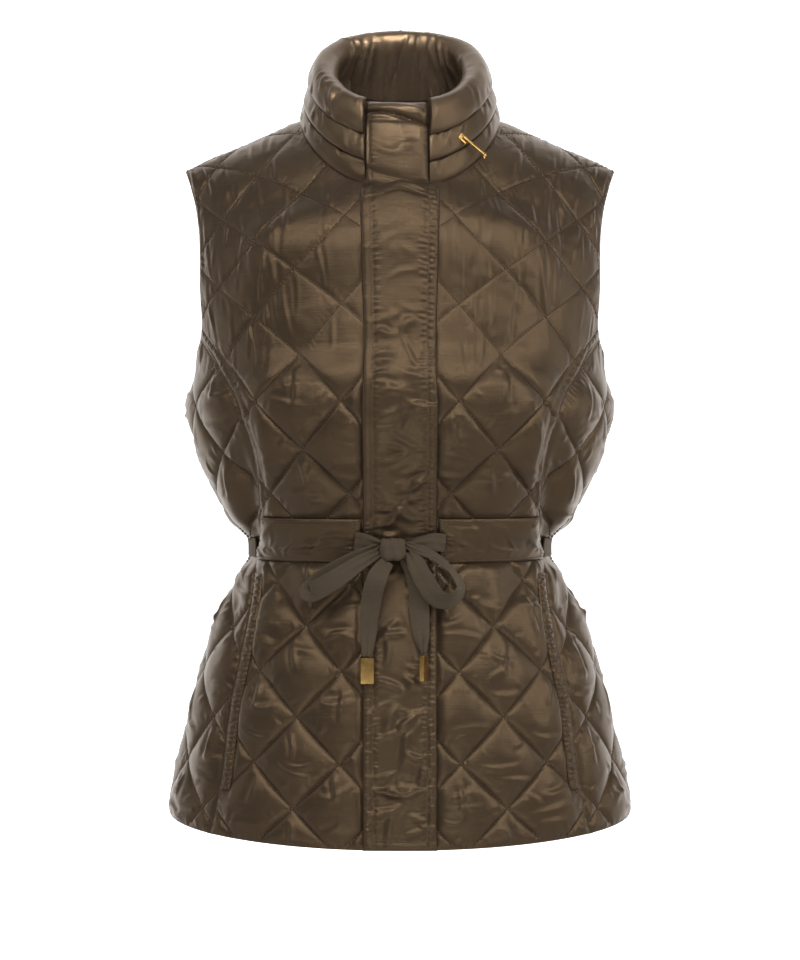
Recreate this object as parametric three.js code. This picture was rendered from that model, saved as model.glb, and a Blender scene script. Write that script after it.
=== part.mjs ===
// A sleeveless quilted vest with a stand collar, a covered front closing and a ribbon tied at the waist.
// It is filled out as if worn, and open at the neck, the armholes and the hem.
// Units are millimetres. +Z is up, the front faces -Y, and +X is the wearer's left.
// The origin lies midway between the two points where the shoulder seams meet the collar.
import * as THREE from "three";
import { mergeVertices } from "three/addons/utils/BufferGeometryUtils.js";

// Driving dimensions
const WALL = 2.4; // thickness of the quilted cloth along its stitched lines
const PUFF = 6; // how far the padding stands up between the stitched lines
const PUFF_EDGE = 20; // the padding thins out over this distance from a panel's edge
const SEAM_GAP = 0.4; // clear space between two pieces at a seam
const LAYER_GAP = 0.95; // clear space between a piece and what lies on it
const BUST_HEIGHT = -262; // above this height the body narrows towards the shoulder seams
const SECTION_POWER = 2.25; // how square the body's sections are: 2 is an ellipse
const CHEST_POWER = 1.85; // roundness of the front between bust and shoulder
const SHOULDER_BLADE_POWER = 2.6; // roundness of the back between bust and shoulder
const RIDGE_DEPTH = 8; // the shoulder seams lie this far behind the middle
const NECK_HALF_WIDTH = 89;
const NECK_DROP = 68; // from the shoulder seams down to the front of the neckline
const NECK_CURVE = 0.6;
const NAPE_DROP = 14; // from the shoulder seams down to the back of the neckline
const SHOULDER_TIP = 199; // half the width across the shoulders
const SHOULDER_DROP = 48; // from the neck to the tip of a shoulder seam
const UNDERARM_HEIGHT = -208;
const HEM_FRONT = -650;
const HEM_SIDE = -629;
const PLACKET_HALF_WIDTH = 32.5;
const PLACKET_TOP = -73;
const PLACKET_THICKNESS = 5;
const EDGE_BAND = 9.5; // width of the stitched bands along the placket
const WAIST_HEIGHT = -388;
const RIBBON_WIDTH = 20;
const RIBBON_THICKNESS = 1.2;

// The body's sections: height, half width, and depth to the front and to the back
const SECTIONS = [
  { name: "below_hem", height: -670, width: 219, front: 150, back: 146 },
  { name: "hem", height: -630, width: 211, front: 147, back: 142 },
  { name: "hip", height: -570, width: 195.5, front: 142, back: 136 },
  { name: "high_hip", height: -515, width: 183.5, front: 134, back: 127 },
  { name: "peplum", height: -460, width: 165, front: 122, back: 112 },
  { name: "under_waist", height: -415, width: 145, front: 110, back: 97 },
  { name: "waist", height: -389, width: 134.5, front: 107, back: 92 },
  { name: "over_waist", height: -372, width: 147.5, front: 110, back: 96 },
  { name: "rib", height: -345, width: 163.5, front: 119, back: 103 },
  { name: "high_rib", height: -305, width: 181, front: 131, back: 110 },
  { name: "bust", height: -262, width: 190, front: 138, back: 115 },
  { name: "over_bust", height: -225, width: 184, front: 138, back: 115 },
  { name: "underarm", height: -190, width: 186, front: 138, back: 115 },
  { name: "low_armhole", height: -150, width: 192.5, front: 138, back: 115 },
  { name: "armhole", height: -115, width: 193, front: 138, back: 115 },
  { name: "high_armhole", height: -85, width: 195, front: 138, back: 115 },
  { name: "tip", height: -62, width: 198.5, front: 138, back: 115 },
  { name: "ridge", height: -40, width: 206, front: 138, back: 115 },
];

// The seam between front and side panel, seen from the front
const PRINCESS_SEAM = [
  { height: -670, across: 176 },
  { height: -606, across: 161 },
  { height: -524, across: 150 },
  { height: -480, across: 141 },
  { height: -436, across: 133 },
  { height: -399, across: 129 },
  { height: -357, across: 128 },
  { height: -320, across: 129 },
  { height: -287, across: 133 },
  { height: -247, across: 147 },
  { height: -215, across: 163 },
  { height: -188, across: 172 },
];

// The armhole's edge from the underarm up to the shoulder tip, as a share of the body's half width
const ARMHOLE = [
  { height: -208, front: 1, back: 1 },
  { height: -207, front: 0.991, back: 0.99 },
  { height: -204, front: 0.98, back: 0.978 },
  { height: -197, front: 0.967, back: 0.965 },
  { height: -180, front: 0.951, back: 0.95 },
  { height: -150, front: 0.935, back: 0.938 },
  { height: -115, front: 0.936, back: 0.94 },
  { height: -85, front: 0.944, back: 0.948 },
  { height: -62, front: 0.959, back: 0.961 },
  { height: -48, front: 0.967, back: 0.967 },
];

// Rows of the quilting: the height of a row's crossings, the arc from the centre to
// its guide column, and half the width of a diamond
const FRONT_QUILT = [
  { row: 0, height: -40, column: 84, pitch: 41 },
  { row: 2, height: -106.5, column: 88, pitch: 41.5 },
  { row: 4, height: -175.5, column: 94, pitch: 42 },
  { row: 6, height: -255.5, column: 90, pitch: 39 },
  { row: 8, height: -337, column: 82, pitch: 37 },
  { row: 10, height: -416.5, column: 80, pitch: 36.5 },
  { row: 12, height: -494.5, column: 91, pitch: 39 },
  { row: 14, height: -575, column: 94, pitch: 40.5 },
  { row: 16, height: -655, column: 98, pitch: 42 },
];
const SIDE_QUILT = FRONT_QUILT.map((r) => ({ ...r, column: r.column + 12, height: r.height - 5 }));
const BACK_QUILT = FRONT_QUILT.map((r) => ({ ...r, column: 0, pitch: 0.5 * r.pitch + 20.5 }));
const ROW_PITCH_TOP = 40; // distance between rows above the first one, along the cloth

// Folds that stand out from a step away: long troughs that run up and down the cloth
const FOLDS = [
  { name: "side_tuck", chart: "front", arc: 147, low: -392, high: -275, depth: 9, width: 13 },
  { name: "hip_tuck", chart: "front", arc: 168, low: -470, high: -398, depth: 5, width: 14 },
  { name: "front_gather", chart: "front", arc: 100, low: -440, high: -402, depth: 3, width: 12 },
  { name: "blade_tuck", chart: "back", arc: 128, low: -390, high: -290, depth: 6, width: 16 },
  { name: "spine_tuck", chart: "back", arc: 62, low: -388, high: -320, depth: 5, width: 15 },
  { name: "seat_tuck", chart: "back", arc: 96, low: -470, high: -392, depth: 5, width: 16 },
];

// Colours and finishes
const SATIN = new THREE.MeshStandardMaterial({ color: 0x4f4232, roughness: 0.45, metalness: 0 });
const GROSGRAIN = new THREE.MeshStandardMaterial({ color: 0x453b2e, roughness: 0.8, metalness: 0 });
const GOLD = new THREE.MeshStandardMaterial({ color: 0xb08a45, roughness: 0.25, metalness: 1 });
const ZIP_TAPE = new THREE.MeshStandardMaterial({ color: 0x3c3328, roughness: 0.85, metalness: 0 });

const clamp = THREE.MathUtils.clamp;
const lerp = THREE.MathUtils.lerp;
const smooth = (x, low, high) => THREE.MathUtils.smoothstep(x, low, high);

// A smooth curve through a table's rows that never overshoots them
function tableCurve(rows, key, value) {
  const sorted = [...rows].sort((a, b) => a[key] - b[key]);
  const xs = sorted.map((r) => r[key]);
  const ys = sorted.map((r) => r[value]);
  const steps = xs.slice(1).map((x, i) => (ys[i + 1] - ys[i]) / (x - xs[i]));
  const slopes = xs.map((_, i) => {
    if (i === 0) return steps[0];
    if (i === xs.length - 1) return steps[i - 1];
    const [a, b] = [steps[i - 1], steps[i]];
    return a * b <= 0 ? 0 : (2 * a * b) / (a + b);
  });
  return (x) => {
    if (x <= xs[0]) return ys[0] + (x - xs[0]) * slopes[0];
    const last = xs.length - 1;
    if (x >= xs[last]) return ys[last] + (x - xs[last]) * slopes[last];
    let i = 0;
    while (x > xs[i + 1]) i += 1;
    const span = xs[i + 1] - xs[i];
    const t = (x - xs[i]) / span;
    const rise = ys[i + 1] - ys[i];
    return ys[i] + t * (span * slopes[i] + t * (3 * rise - 2 * span * slopes[i] - span * slopes[i + 1]
      + t * (span * slopes[i] + span * slopes[i + 1] - 2 * rise)));
  };
}

const halfWidth = tableCurve(SECTIONS, "height", "width");
const depths = {
  front: tableCurve(SECTIONS, "height", "front"),
  back: tableCurve(SECTIONS, "height", "back"),
};
const chestPowers = { front: CHEST_POWER, back: SHOULDER_BLADE_POWER };
const facing = { front: -1, back: 1 };

// The height of the shoulder seam at a distance from the middle
const ridgeHeight = (across) =>
  -SHOULDER_DROP * (across - NECK_HALF_WIDTH) / (SHOULDER_TIP - NECK_HALF_WIDTH);

// How far up the shoulder a height lies: 0 at the bust and 1 on the shoulder seam
const climb = (across, height) =>
  clamp((height - BUST_HEIGHT) / (ridgeHeight(across) - BUST_HEIGHT), 0, 1);

// A point of the body's surface from its distance to the middle and its share of the climb
function bodyPoint(chart, share, height, rise) {
  const width = halfWidth(height);
  const across = share * width;
  const level = Math.min(height, BUST_HEIGHT);
  const power = chestPowers[chart];
  const shrink = Math.pow(Math.max(0, 1 - Math.pow(rise, power)), 1 / power);
  const round = Math.pow(Math.max(0, 1 - Math.pow(share, SECTION_POWER)), 1 / SECTION_POWER);
  const depth = facing[chart] * depths[chart](level) * round * shrink + RIDGE_DEPTH * rise * rise;
  return new THREE.Vector3(across, depth, height);
}

// Table of the arc along a section from the centre to each share of its half width
const ARC_STEPS = 60;
const arcCache = new Map();
function arcTable(chart, height) {
  const level = Math.min(height, BUST_HEIGHT);
  const key = chart + level.toFixed(2);
  if (!arcCache.has(key)) {
    const rows = [{ share: 0, arc: 0 }];
    let last = bodyPoint(chart, 0, level, 0);
    for (let i = 1; i <= ARC_STEPS; i += 1) {
      const share = Math.sin((i / ARC_STEPS) * Math.PI / 2);
      const point = bodyPoint(chart, share, level, 0);
      rows.push({ share, arc: rows[i - 1].arc + point.distanceTo(last) });
      last = point;
    }
    arcCache.set(key, rows);
  }
  return arcCache.get(key);
}

function lookUp(rows, from, to, x) {
  let i = 0;
  while (i < rows.length - 2 && x > rows[i + 1][from]) i += 1;
  const t = (x - rows[i][from]) / (rows[i + 1][from] - rows[i][from]);
  return lerp(rows[i][to], rows[i + 1][to], t);
}

const shareAt = (chart, arc, height) => Math.min(1, lookUp(arcTable(chart, height), "arc", "share", arc));
const arcAt = (chart, share, height) => lookUp(arcTable(chart, height), "share", "arc", share);
const sideArc = (chart, height) => arcTable(chart, height)[ARC_STEPS].arc;

// Above the bust the cloth's own height runs along its slope, measured on a reference column
const REFERENCE_ACROSS = 92;
const CLIMB_STEPS = 120;
const climbTables = {};
for (const chart of ["front", "back"]) {
  const top = ridgeHeight(REFERENCE_ACROSS);
  const share = REFERENCE_ACROSS / halfWidth(BUST_HEIGHT);
  const rows = [];
  let last;
  for (let i = 0; i <= CLIMB_STEPS; i += 1) {
    const rise = Math.sin((i / CLIMB_STEPS) * Math.PI / 2);
    const point = bodyPoint(chart, share, lerp(BUST_HEIGHT, top, rise), rise);
    const run = i === 0 ? 0 : rows[i - 1].run + point.distanceTo(last);
    rows.push({ rise, run });
    last = point;
  }
  climbTables[chart] = rows;
}
const ridgeRun = (chart) => BUST_HEIGHT + climbTables[chart][CLIMB_STEPS].run;

// The cloth's own height of a point at a given height and distance from the middle
function runAt(chart, across, height) {
  if (height <= BUST_HEIGHT) return height;
  return BUST_HEIGHT + lookUp(climbTables[chart], "rise", "run", climb(across, height));
}

// How deep the cloth is folded in at a place
function foldDepth(chart, arc, run) {
  let depth = 0;
  for (const fold of FOLDS) {
    if (fold.chart !== chart) continue;
    const middle = (fold.low + fold.high) / 2;
    const along = 1 - Math.pow((run - middle) / ((fold.high - fold.low) / 2), 2);
    if (along <= 0) continue;
    const off = (arc - fold.arc) / fold.width;
    depth += fold.depth * along * Math.exp(-off * off);
  }
  return depth;
}

// The body's surface at an arc from the centre and a height along the cloth, without folds
function smoothPoint(chart, arc, run) {
  const side = Math.sign(arc) || 1;
  const distance = Math.abs(arc);
  let point;
  if (run <= BUST_HEIGHT) {
    point = bodyPoint(chart, shareAt(chart, distance, run), run, 0);
  } else {
    const rise = lookUp(climbTables[chart], "run", "rise", Math.min(run, ridgeRun(chart)) - BUST_HEIGHT);
    const share = shareAt(chart, distance, BUST_HEIGHT);
    let height = BUST_HEIGHT;
    for (let pass = 0; pass < 8; pass += 1) {
      height = lerp(BUST_HEIGHT, ridgeHeight(share * halfWidth(height)), rise);
    }
    point = bodyPoint(chart, share, height, rise);
  }
  point.x *= side;
  return point;
}

const PROBE = 2; // how far apart points are taken to find which way the surface faces
function outward(chart, arc, run) {
  const limit = sideArc(chart, run) - PROBE;
  const middle = clamp(arc, -limit, limit);
  const high = Math.min(run + PROBE, ridgeRun(chart) - 0.5);
  const across = smoothPoint(chart, middle + PROBE, run).sub(smoothPoint(chart, middle - PROBE, run));
  const up = smoothPoint(chart, arc, high).sub(smoothPoint(chart, arc, high - 2 * PROBE));
  return across.cross(up).multiplyScalar(-facing[chart]).normalize();
}

// A point of the cloth, moved out from the middle of its wall
function clothPoint(chart, arc, run, out) {
  const depth = foldDepth(chart, Math.abs(arc), run);
  return smoothPoint(chart, arc, run).addScaledVector(outward(chart, arc, run), out - depth);
}

// A closed mesh from points and triangles
function solid(points, triangles) {
  const geometry = new THREE.BufferGeometry().setFromPoints(points);
  geometry.setIndex(triangles.flat());
  return mergeVertices(geometry, 1e-4);
}

// A wall between two grids of points, inner and outer, with its rim closed
function gridSolid(columns, rows, pointAt) {
  const points = [];
  const index = (i, j, layer) => (layer * (rows + 1) + j) * (columns + 1) + i;
  for (const layer of [0, 1]) {
    for (let j = 0; j <= rows; j += 1) {
      for (let i = 0; i <= columns; i += 1) points.push(pointAt(i / columns, j / rows, layer));
    }
  }
  const triangles = [];
  const quad = (a, b, c, d) => triangles.push([a, b, c], [a, c, d]);
  for (let j = 0; j < rows; j += 1) {
    for (let i = 0; i < columns; i += 1) {
      quad(index(i, j, 1), index(i + 1, j, 1), index(i + 1, j + 1, 1), index(i, j + 1, 1));
      quad(index(i, j, 0), index(i, j + 1, 0), index(i + 1, j + 1, 0), index(i + 1, j, 0));
    }
  }
  for (let i = 0; i < columns; i += 1) {
    quad(index(i, 0, 0), index(i + 1, 0, 0), index(i + 1, 0, 1), index(i, 0, 1));
    quad(index(i, rows, 1), index(i + 1, rows, 1), index(i + 1, rows, 0), index(i, rows, 0));
  }
  for (let j = 0; j < rows; j += 1) {
    quad(index(0, j, 1), index(0, j + 1, 1), index(0, j + 1, 0), index(0, j, 0));
    quad(index(columns, j, 0), index(columns, j + 1, 0), index(columns, j + 1, 1), index(columns, j, 1));
  }
  return solid(points, triangles);
}

// The same solid on the other side of the body
function mirrored(geometry) {
  const copy = geometry.clone().scale(-1, 1, 1);
  const order = copy.index.array;
  for (let i = 0; i < order.length; i += 3) [order[i + 1], order[i + 2]] = [order[i + 2], order[i + 1]];
  return copy;
}

// Quilting

// Turns arc and run into the two families of stitched lines and back: both are whole
// numbers where lines cross, and one of them is whole along a line
function quiltLattice(table, chart) {
  const rows = table.map((r) => ({ ...r, run: runAt(chart, REFERENCE_ACROSS, r.height) }));
  for (const row of [-2, -4]) {
    rows.push({ row, run: rows[0].run - row * ROW_PITCH_TOP, column: table[0].column, pitch: table[0].pitch });
  }
  const rowAt = tableCurve(rows, "run", "row");
  const sampled = [];
  for (let run = -700; run < 160; run += 2) sampled.push({ run, row: -rowAt(run) });
  const columnAt = tableCurve(rows, "run", "column");
  const pitchAt = tableCurve(rows, "run", "pitch");
  return {
    toLines(arc, run) {
      const row = rowAt(run);
      const across = (arc - columnAt(run)) / pitchAt(run);
      return [(across + row + 1) / 2, (row - across + 1) / 2];
    },
    toCloth(a, b) {
      const run = lookUp(sampled, "row", "run", -(a + b - 1));
      return [columnAt(run) + (a - b) * pitchAt(run), run];
    },
  };
}

// The part of a polygon that lies on one side of a line across one of its coordinates
function clipped(polygon, axis, limit, keepAbove) {
  const result = [];
  const inside = (p) => (keepAbove ? p[axis] >= limit : p[axis] <= limit);
  polygon.forEach((current, i) => {
    const previous = polygon[(i + polygon.length - 1) % polygon.length];
    if (inside(current) !== inside(previous)) {
      const t = (limit - previous[axis]) / (current[axis] - previous[axis]);
      const crossing = previous.map((v, k) => v + (current[k] - v) * t);
      crossing[axis] = limit;
      result.push(crossing);
    }
    if (inside(current)) result.push(current);
  });
  return result;
}

// The polygon without corners where its edge runs out along a line and straight back
function withoutSpikes(polygon) {
  const spike = polygon.findIndex((p, i) => {
    const before = polygon[(i + polygon.length - 1) % polygon.length];
    const after = polygon[(i + 1) % polygon.length];
    return [[0, 1], [1, 0], [2, 0]].some(([k, along]) =>
      Math.abs(p[k] - before[k]) < 1e-9 && Math.abs(p[k] - after[k]) < 1e-9
      && (p[along] - before[along]) * (p[along] - after[along]) >= 0);
  });
  return spike < 0 ? polygon : withoutSpikes(polygon.filter((_, i) => i !== spike));
}

const turn = (a, b, c) => (b[0] - a[0]) * (c[1] - a[1]) - (b[1] - a[1]) * (c[0] - a[0]);

// Triangles of a small polygon that use every one of its corners, best-shaped corners first
function earClipped(corners, at) {
  const left = [...corners];
  const triangles = [];
  while (left.length > 3) {
    let best = { worth: -Infinity, i: 0 };
    left.forEach((corner, i) => {
      const before = left[(i + left.length - 1) % left.length];
      const after = left[(i + 1) % left.length];
      const [a, b, c] = [at[before], at[corner], at[after]];
      const area = turn(a, b, c);
      const longest = Math.max((a[0] - c[0]) ** 2 + (a[1] - c[1]) ** 2, (a[0] - b[0]) ** 2 + (a[1] - b[1]) ** 2);
      const holds = left.some((other) => ![before, corner, after].includes(other)
        && turn(a, b, at[other]) > 0 && turn(b, c, at[other]) > 0 && turn(c, a, at[other]) > 0);
      const worth = holds ? -1 : area / longest;
      if (worth > best.worth) best = { worth, i };
    });
    const n = left.length;
    triangles.push([left[(best.i + n - 1) % n], left[best.i], left[(best.i + 1) % n]]);
    left.splice(best.i, 1);
  }
  triangles.push(left);
  return triangles;
}

function distanceToOutline(point, outline) {
  let best = Infinity;
  outline.forEach((a, i) => {
    const b = outline[(i + 1) % outline.length];
    const [dx, dy] = [b[0] - a[0], b[1] - a[1]];
    const t = clamp(((point[0] - a[0]) * dx + (point[1] - a[1]) * dy) / (dx * dx + dy * dy), 0, 1);
    best = Math.min(best, Math.hypot(point[0] - a[0] - t * dx, point[1] - a[1] - t * dy));
  });
  return best;
}

// How high the padding stands at a place, from 0 on a stitched line to 1 in a diamond's middle
function puffShare(lines) {
  return Math.sqrt(Math.abs(Math.sin(Math.PI * lines[0]) * Math.sin(Math.PI * lines[1])));
}

const CREASES = [WAIST_HEIGHT - 12, WAIST_HEIGHT, WAIST_HEIGHT + 12]; // a panel's mesh also has edges at these heights
const SHORTEST_EDGE = 5; // a panel's mesh has no edge shorter than this where it can be avoided

// Draws the ends of a flat mesh's short edges together wherever its triangles stay the right way
// round. The first places, its outline's own, stay.
function withoutShortEdges(faces, places, fixed) {
  let triangles = faces;
  for (;;) {
    const around = places.map(() => []);
    const edges = new Map();
    triangles.forEach((t) => t.forEach((a, k) => {
      const b = t[(k + 1) % 3];
      around[a].push(t);
      const key = Math.min(a, b) + "," + Math.max(a, b);
      edges.set(key, (edges.get(key) ?? 0) + 1);
    }));
    const onRim = new Set();
    edges.forEach((count, key) => {
      if (count === 1) key.split(",").forEach((v) => onRim.add(Number(v)));
    });
    const neighbours = (a) => new Set(around[a].flat().filter((v) => v !== a));
    const short = [...edges.keys()].map((key) => {
      const [a, b] = key.split(",").map(Number);
      const length = Math.hypot(places[a][0] - places[b][0], places[a][1] - places[b][1]);
      return { a, b, count: edges.get(key), length };
    }).filter((e) => e.length < SHORTEST_EDGE).sort((e, f) => e.length - f.length);
    const found = short.map(({ a, b, count }) => {
      const [keep, drop] = onRim.has(b) && !onRim.has(a) ? [b, a] : [a, b];
      if (drop < fixed || (onRim.has(a) && onRim.has(b) && count === 2)) return null;
      const shared = [...neighbours(a)].filter((v) => neighbours(b).has(v)).length;
      if (shared !== count) return null;
      const moved = around[drop].filter((t) => !t.includes(keep)).map((t) => t.map((v) => (v === drop ? keep : v)));
      const turned = moved.some(([p, q, r]) => turn(places[p], places[q], places[r]) < 0.5);
      return turned ? null : { keep, drop };
    }).find(Boolean);
    if (!found) return triangles;
    triangles = triangles.filter((t) => !(t.includes(found.keep) && t.includes(found.drop)))
      .map((t) => t.map((v) => (v === found.drop ? found.keep : v)));
  }
}

// A quilted panel: the lattice's cells, cut off at the panel's outline, as a padded wall
function quiltedPanel({ chart, outline, lattice, cells, flat = () => 1 }) {
  const domain = outline.map(([arc, run]) => {
    const [a, b] = lattice.toLines(arc, run);
    return [a, b, a + b];
  });
  const creases = CREASES.map((run) => lattice.toLines(0, run)).map(([a, b]) => a + b);
  const limits = [0, 1].map((k) => [
    Math.floor(Math.min(...domain.map((p) => p[k])) * cells),
    Math.ceil(Math.max(...domain.map((p) => p[k])) * cells),
  ]);
  const places = outline.map((p) => [...p]);
  const find = (line) => {
    const place = lattice.toCloth(line[0], line[1]);
    const found = places.findIndex((p) => Math.hypot(p[0] - place[0], p[1] - place[1]) < 1e-3);
    return found >= 0 ? found : places.push(place) - 1;
  };
  const faces = [];
  for (let i = limits[0][0]; i < limits[0][1]; i += 1) {
    const strip = clipped(clipped(domain, 0, i / cells, true), 0, (i + 1) / cells, false);
    for (let j = limits[1][0]; j < limits[1][1]; j += 1) {
      const cell = clipped(clipped(strip, 1, j / cells, true), 1, (j + 1) / cells, false);
      const parts = creases.reduce((all, level) => all.flatMap((part) => [
        clipped(part, 2, level, false), clipped(part, 2, level, true)]), [cell]);
      for (const part of parts.map(withoutSpikes).filter((p) => p.length > 2)) {
        const corners = part.map(find).filter((c, k, all) => c !== all[(k + 1) % all.length]);
        if (new Set(corners).size < 3) continue;
        faces.push(...earClipped(corners, places).filter((t) => new Set(t).size === 3));
      }
    }
  }
  return { faces: withoutShortEdges(faces, places, outline.length), places, chart, outline, lattice, flat };
}

// Outer and inner points over a panel's places, with a rim along its open edges
function panelSolid(panel) {
  const { faces, places, chart, outline, lattice, flat } = panel;
  const inner = places.map(([arc, run]) => clothPoint(chart, arc, run, -WALL / 2));
  const outer = places.map(([arc, run]) => {
    const edge = Math.sqrt(Math.min(1, distanceToOutline([arc, run], outline) / PUFF_EDGE));
    const puff = PUFF * puffShare(lattice.toLines(arc, run)) * edge * flat(arc, run);
    return clothPoint(chart, arc, run, WALL / 2 + puff);
  });
  const count = places.length;
  const turned = chart === "front" ? faces : faces.map(([a, b, c]) => [a, c, b]);
  const open = new Map();
  turned.forEach(([a, b, c]) => [[a, b], [b, c], [c, a]].forEach(([p, q]) => {
    if (open.has(q + "," + p)) open.delete(q + "," + p);
    else open.set(p + "," + q, [p, q]);
  }));
  const triangles = [
    ...turned,
    ...turned.map(([a, b, c]) => [a + count, c + count, b + count]),
  ];
  open.forEach(([p, q]) => triangles.push([q, p, p + count], [q, p + count, q + count]));
  return solid([...outer, ...inner], triangles);
}

// Outlines of the body panels, as arc and run, anticlockwise when seen with arc to the right

const princessArc = (() => {
  const across = tableCurve(PRINCESS_SEAM, "height", "across");
  return (height) => arcAt("front", across(height) / halfWidth(height), height);
})();
const hemRun = (arc, chart) => {
  const round = Math.cos((arc / sideArc(chart, HEM_SIDE)) * Math.PI / 2);
  return lerp(HEM_SIDE, HEM_FRONT, chart === "front" ? Math.pow(round, 0.9) : 0.6 * round);
};

// The neckline on one side of the body, from the front or the back to the shoulder seam
function neckPlace(chart, angle) {
  const across = NECK_HALF_WIDTH * Math.sin(angle);
  const dip = Math.pow(Math.max(0, 1 - (across / NECK_HALF_WIDTH) ** 2), NECK_CURVE);
  const height = -(chart === "front" ? NECK_DROP : NAPE_DROP) * dip;
  const rise = climb(across, height);
  return { across, height, rise, share: across / halfWidth(height) };
}

function neckOnCloth(chart, angle) {
  const { across, height, share } = neckPlace(chart, angle);
  return [arcAt(chart, share, BUST_HEIGHT), runAt(chart, across, height)];
}

function neckPoint(chart, angle) {
  const { height, rise, share } = neckPlace(chart, angle);
  return bodyPoint(chart, share, height, rise);
}

// The armhole's edge, from the underarm at the side seam up to the shoulder seam
function armholePlaces(chart) {
  const share = tableCurve(ARMHOLE, "height", chart);
  const places = [];
  const top = -SHOULDER_DROP;
  for (const height of [-208, -207, -204, -197, -188, -176, -160, -142, -124, -106, -90, -76, -64, top]) {
    const s = Math.min(1, share(height));
    const across = s * halfWidth(height);
    const run = height === top ? ridgeRun(chart) : runAt(chart, across, height);
    places.push([arcAt(chart, s, BUST_HEIGHT), run]);
  }
  return places;
}

const steps = (from, to, count) => Array.from({ length: count + 1 }, (_, i) => lerp(from, to, i / count));
const inset = (places, arc, run) => places.map((p) => [p[0] + arc, p[1] + run]);
const HALF_GAP = SEAM_GAP / 2 + 0.15;
const seamRuns = (top) => [
  ...steps(HEM_SIDE, CREASES[0], 20), ...steps(CREASES[0], CREASES[2], 4).slice(1, -1), ...steps(CREASES[2], top, 20)];

function frontOutline() {
  const armhole = armholePlaces("front");
  const start = armhole.findIndex(([, run]) => run > -190);
  const meeting = armhole[start];
  const seamHeights = seamRuns(meeting[1]).slice(0, -1);
  const seam = seamHeights.map((height) => {
    const run = height === HEM_SIDE ? hemRun(princessArc(HEM_SIDE), "front") : height;
    return [princessArc(Math.min(run, -188)), run];
  });
  const blended = seam.map(([arc, run]) => {
    const t = clamp((run + 215) / (meeting[1] + 215), 0, 1);
    return [lerp(arc, meeting[0], t * t), run];
  });
  const hem = steps(HALF_GAP + 3, blended[0][0], 10).slice(0, -1).map((arc) => [arc, hemRun(arc, "front")]);
  const shoulder = steps(armhole.at(-1)[0], neckOnCloth("front", Math.PI / 2)[0], 8).slice(1, -1)
    .map((arc) => [arc, ridgeRun("front")]);
  const neck = steps(Math.PI / 2, 0.05, 12).map((angle) => neckOnCloth("front", angle));
  const low = neck.at(-1)[1];
  const opening = steps(low, hem[0][1], 30).slice(1, -1).map((run) => [HALF_GAP + 3, run]);
  neck[neck.length - 1] = [HALF_GAP + 3, low];
  return {
    outline: [
      ...hem,
      ...inset(blended, -HALF_GAP, 0),
      ...armhole.slice(start),
      ...shoulder,
      ...neck,
      ...opening,
    ],
    seam: blended,
    meeting,
  };
}

function sideOutline(front) {
  const armhole = armholePlaces("front");
  const start = armhole.findIndex(([, run]) => run > -190);
  const hemStart = front.seam[0][0];
  const hemEnd = sideArc("front", HEM_SIDE);
  const hem = steps(hemStart, hemEnd, 8).slice(1, -1).map((arc) => [arc, hemRun(arc, "front")]);
  const sideSeam = seamRuns(UNDERARM_HEIGHT).map((run) => [sideArc("front", run) - HALF_GAP, run]);
  const under = armhole.slice(1, start);
  return [
    ...hem,
    ...sideSeam,
    ...under,
    ...inset([...front.seam, front.meeting].reverse(), HALF_GAP, 0),
  ];
}

function backOutline() {
  const armhole = armholePlaces("back");
  const sideSeam = seamRuns(UNDERARM_HEIGHT).map((run) => [sideArc("back", run) - HALF_GAP, run]);
  const hemEnd = sideSeam[0][0];
  const hem = steps(0, hemEnd, 12).slice(0, -1).map((arc) => [arc, hemRun(arc, "back")]);
  const shoulder = steps(armhole.at(-1)[0], neckOnCloth("back", Math.PI / 2)[0], 8).slice(1, -1)
    .map((arc) => [arc, ridgeRun("back")]);
  const neck = steps(Math.PI / 2, 0, 12).map((angle) => neckOnCloth("back", angle));
  const right = [...hem, ...sideSeam, ...armhole.slice(1), ...shoulder, ...neck];
  const left = right.slice(1, -1).reverse().map(([arc, run]) => [-arc, run]);
  return inset([...right, ...left], 0, 0).map(([arc, run]) => [
    arc, run > ridgeRun("back") - 0.01 ? run - 4 * SEAM_GAP : run]);
}

// The padding is flat under whatever lies on it: 0 there, rising to 1 beside it
const FLAT_BESIDE = 14; // how far past a strip's edge the padding stays flat
const FLAT_RISE = 18;
const beyond = (off, half) => smooth(off, half + FLAT_BESIDE, half + FLAT_BESIDE + FLAT_RISE);
const frontFlat = (arc, run) => beyond(Math.abs(arc), PLACKET_HALF_WIDTH)
  * Math.max(beyond(Math.abs(run - (CASING_LOW + CASING_HIGH) / 2), 21), smooth(arc, CASING_OUTER + 14, CASING_OUTER + 30));
const ribbonFlat = (arc, run) => beyond(Math.abs(run - WAIST_HEIGHT), RIBBON_WIDTH / 2);

// The drawstring casings on the front, the placket and the pocket edges

const CASING_HIGH = -359;
const CASING_LOW = -400;
const CASING_THICKNESS = 3.4;
const CASING_INNER = PLACKET_HALF_WIDTH + 1.5;
const CASING_OUTER = princessArc(WAIST_HEIGHT) - 4;
const OVER_FRONT = WALL / 2 + LAYER_GAP + 0.2;

// How full a strip is at a place from 0 to 1 across it: low at both edges
const pillow = (share, edge) => Math.pow(Math.min(1, Math.min(share, 1 - share) / edge), 0.5);

function casingSolid() {
  return gridSolid(14, 4, (u, v, layer) => {
    const run = lerp(CASING_LOW, CASING_HIGH, v);
    const arc = lerp(CASING_INNER, Math.min(princessArc(run) - 3.5, CASING_OUTER), u);
    const full = 0.35 + 0.65 * pillow(u, 0.08) * pillow(v, 0.25);
    const out = OVER_FRONT + (layer ? 1.4 + CASING_THICKNESS * full : 0);
    return clothPoint("front", arc, run, out);
  });
}

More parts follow.
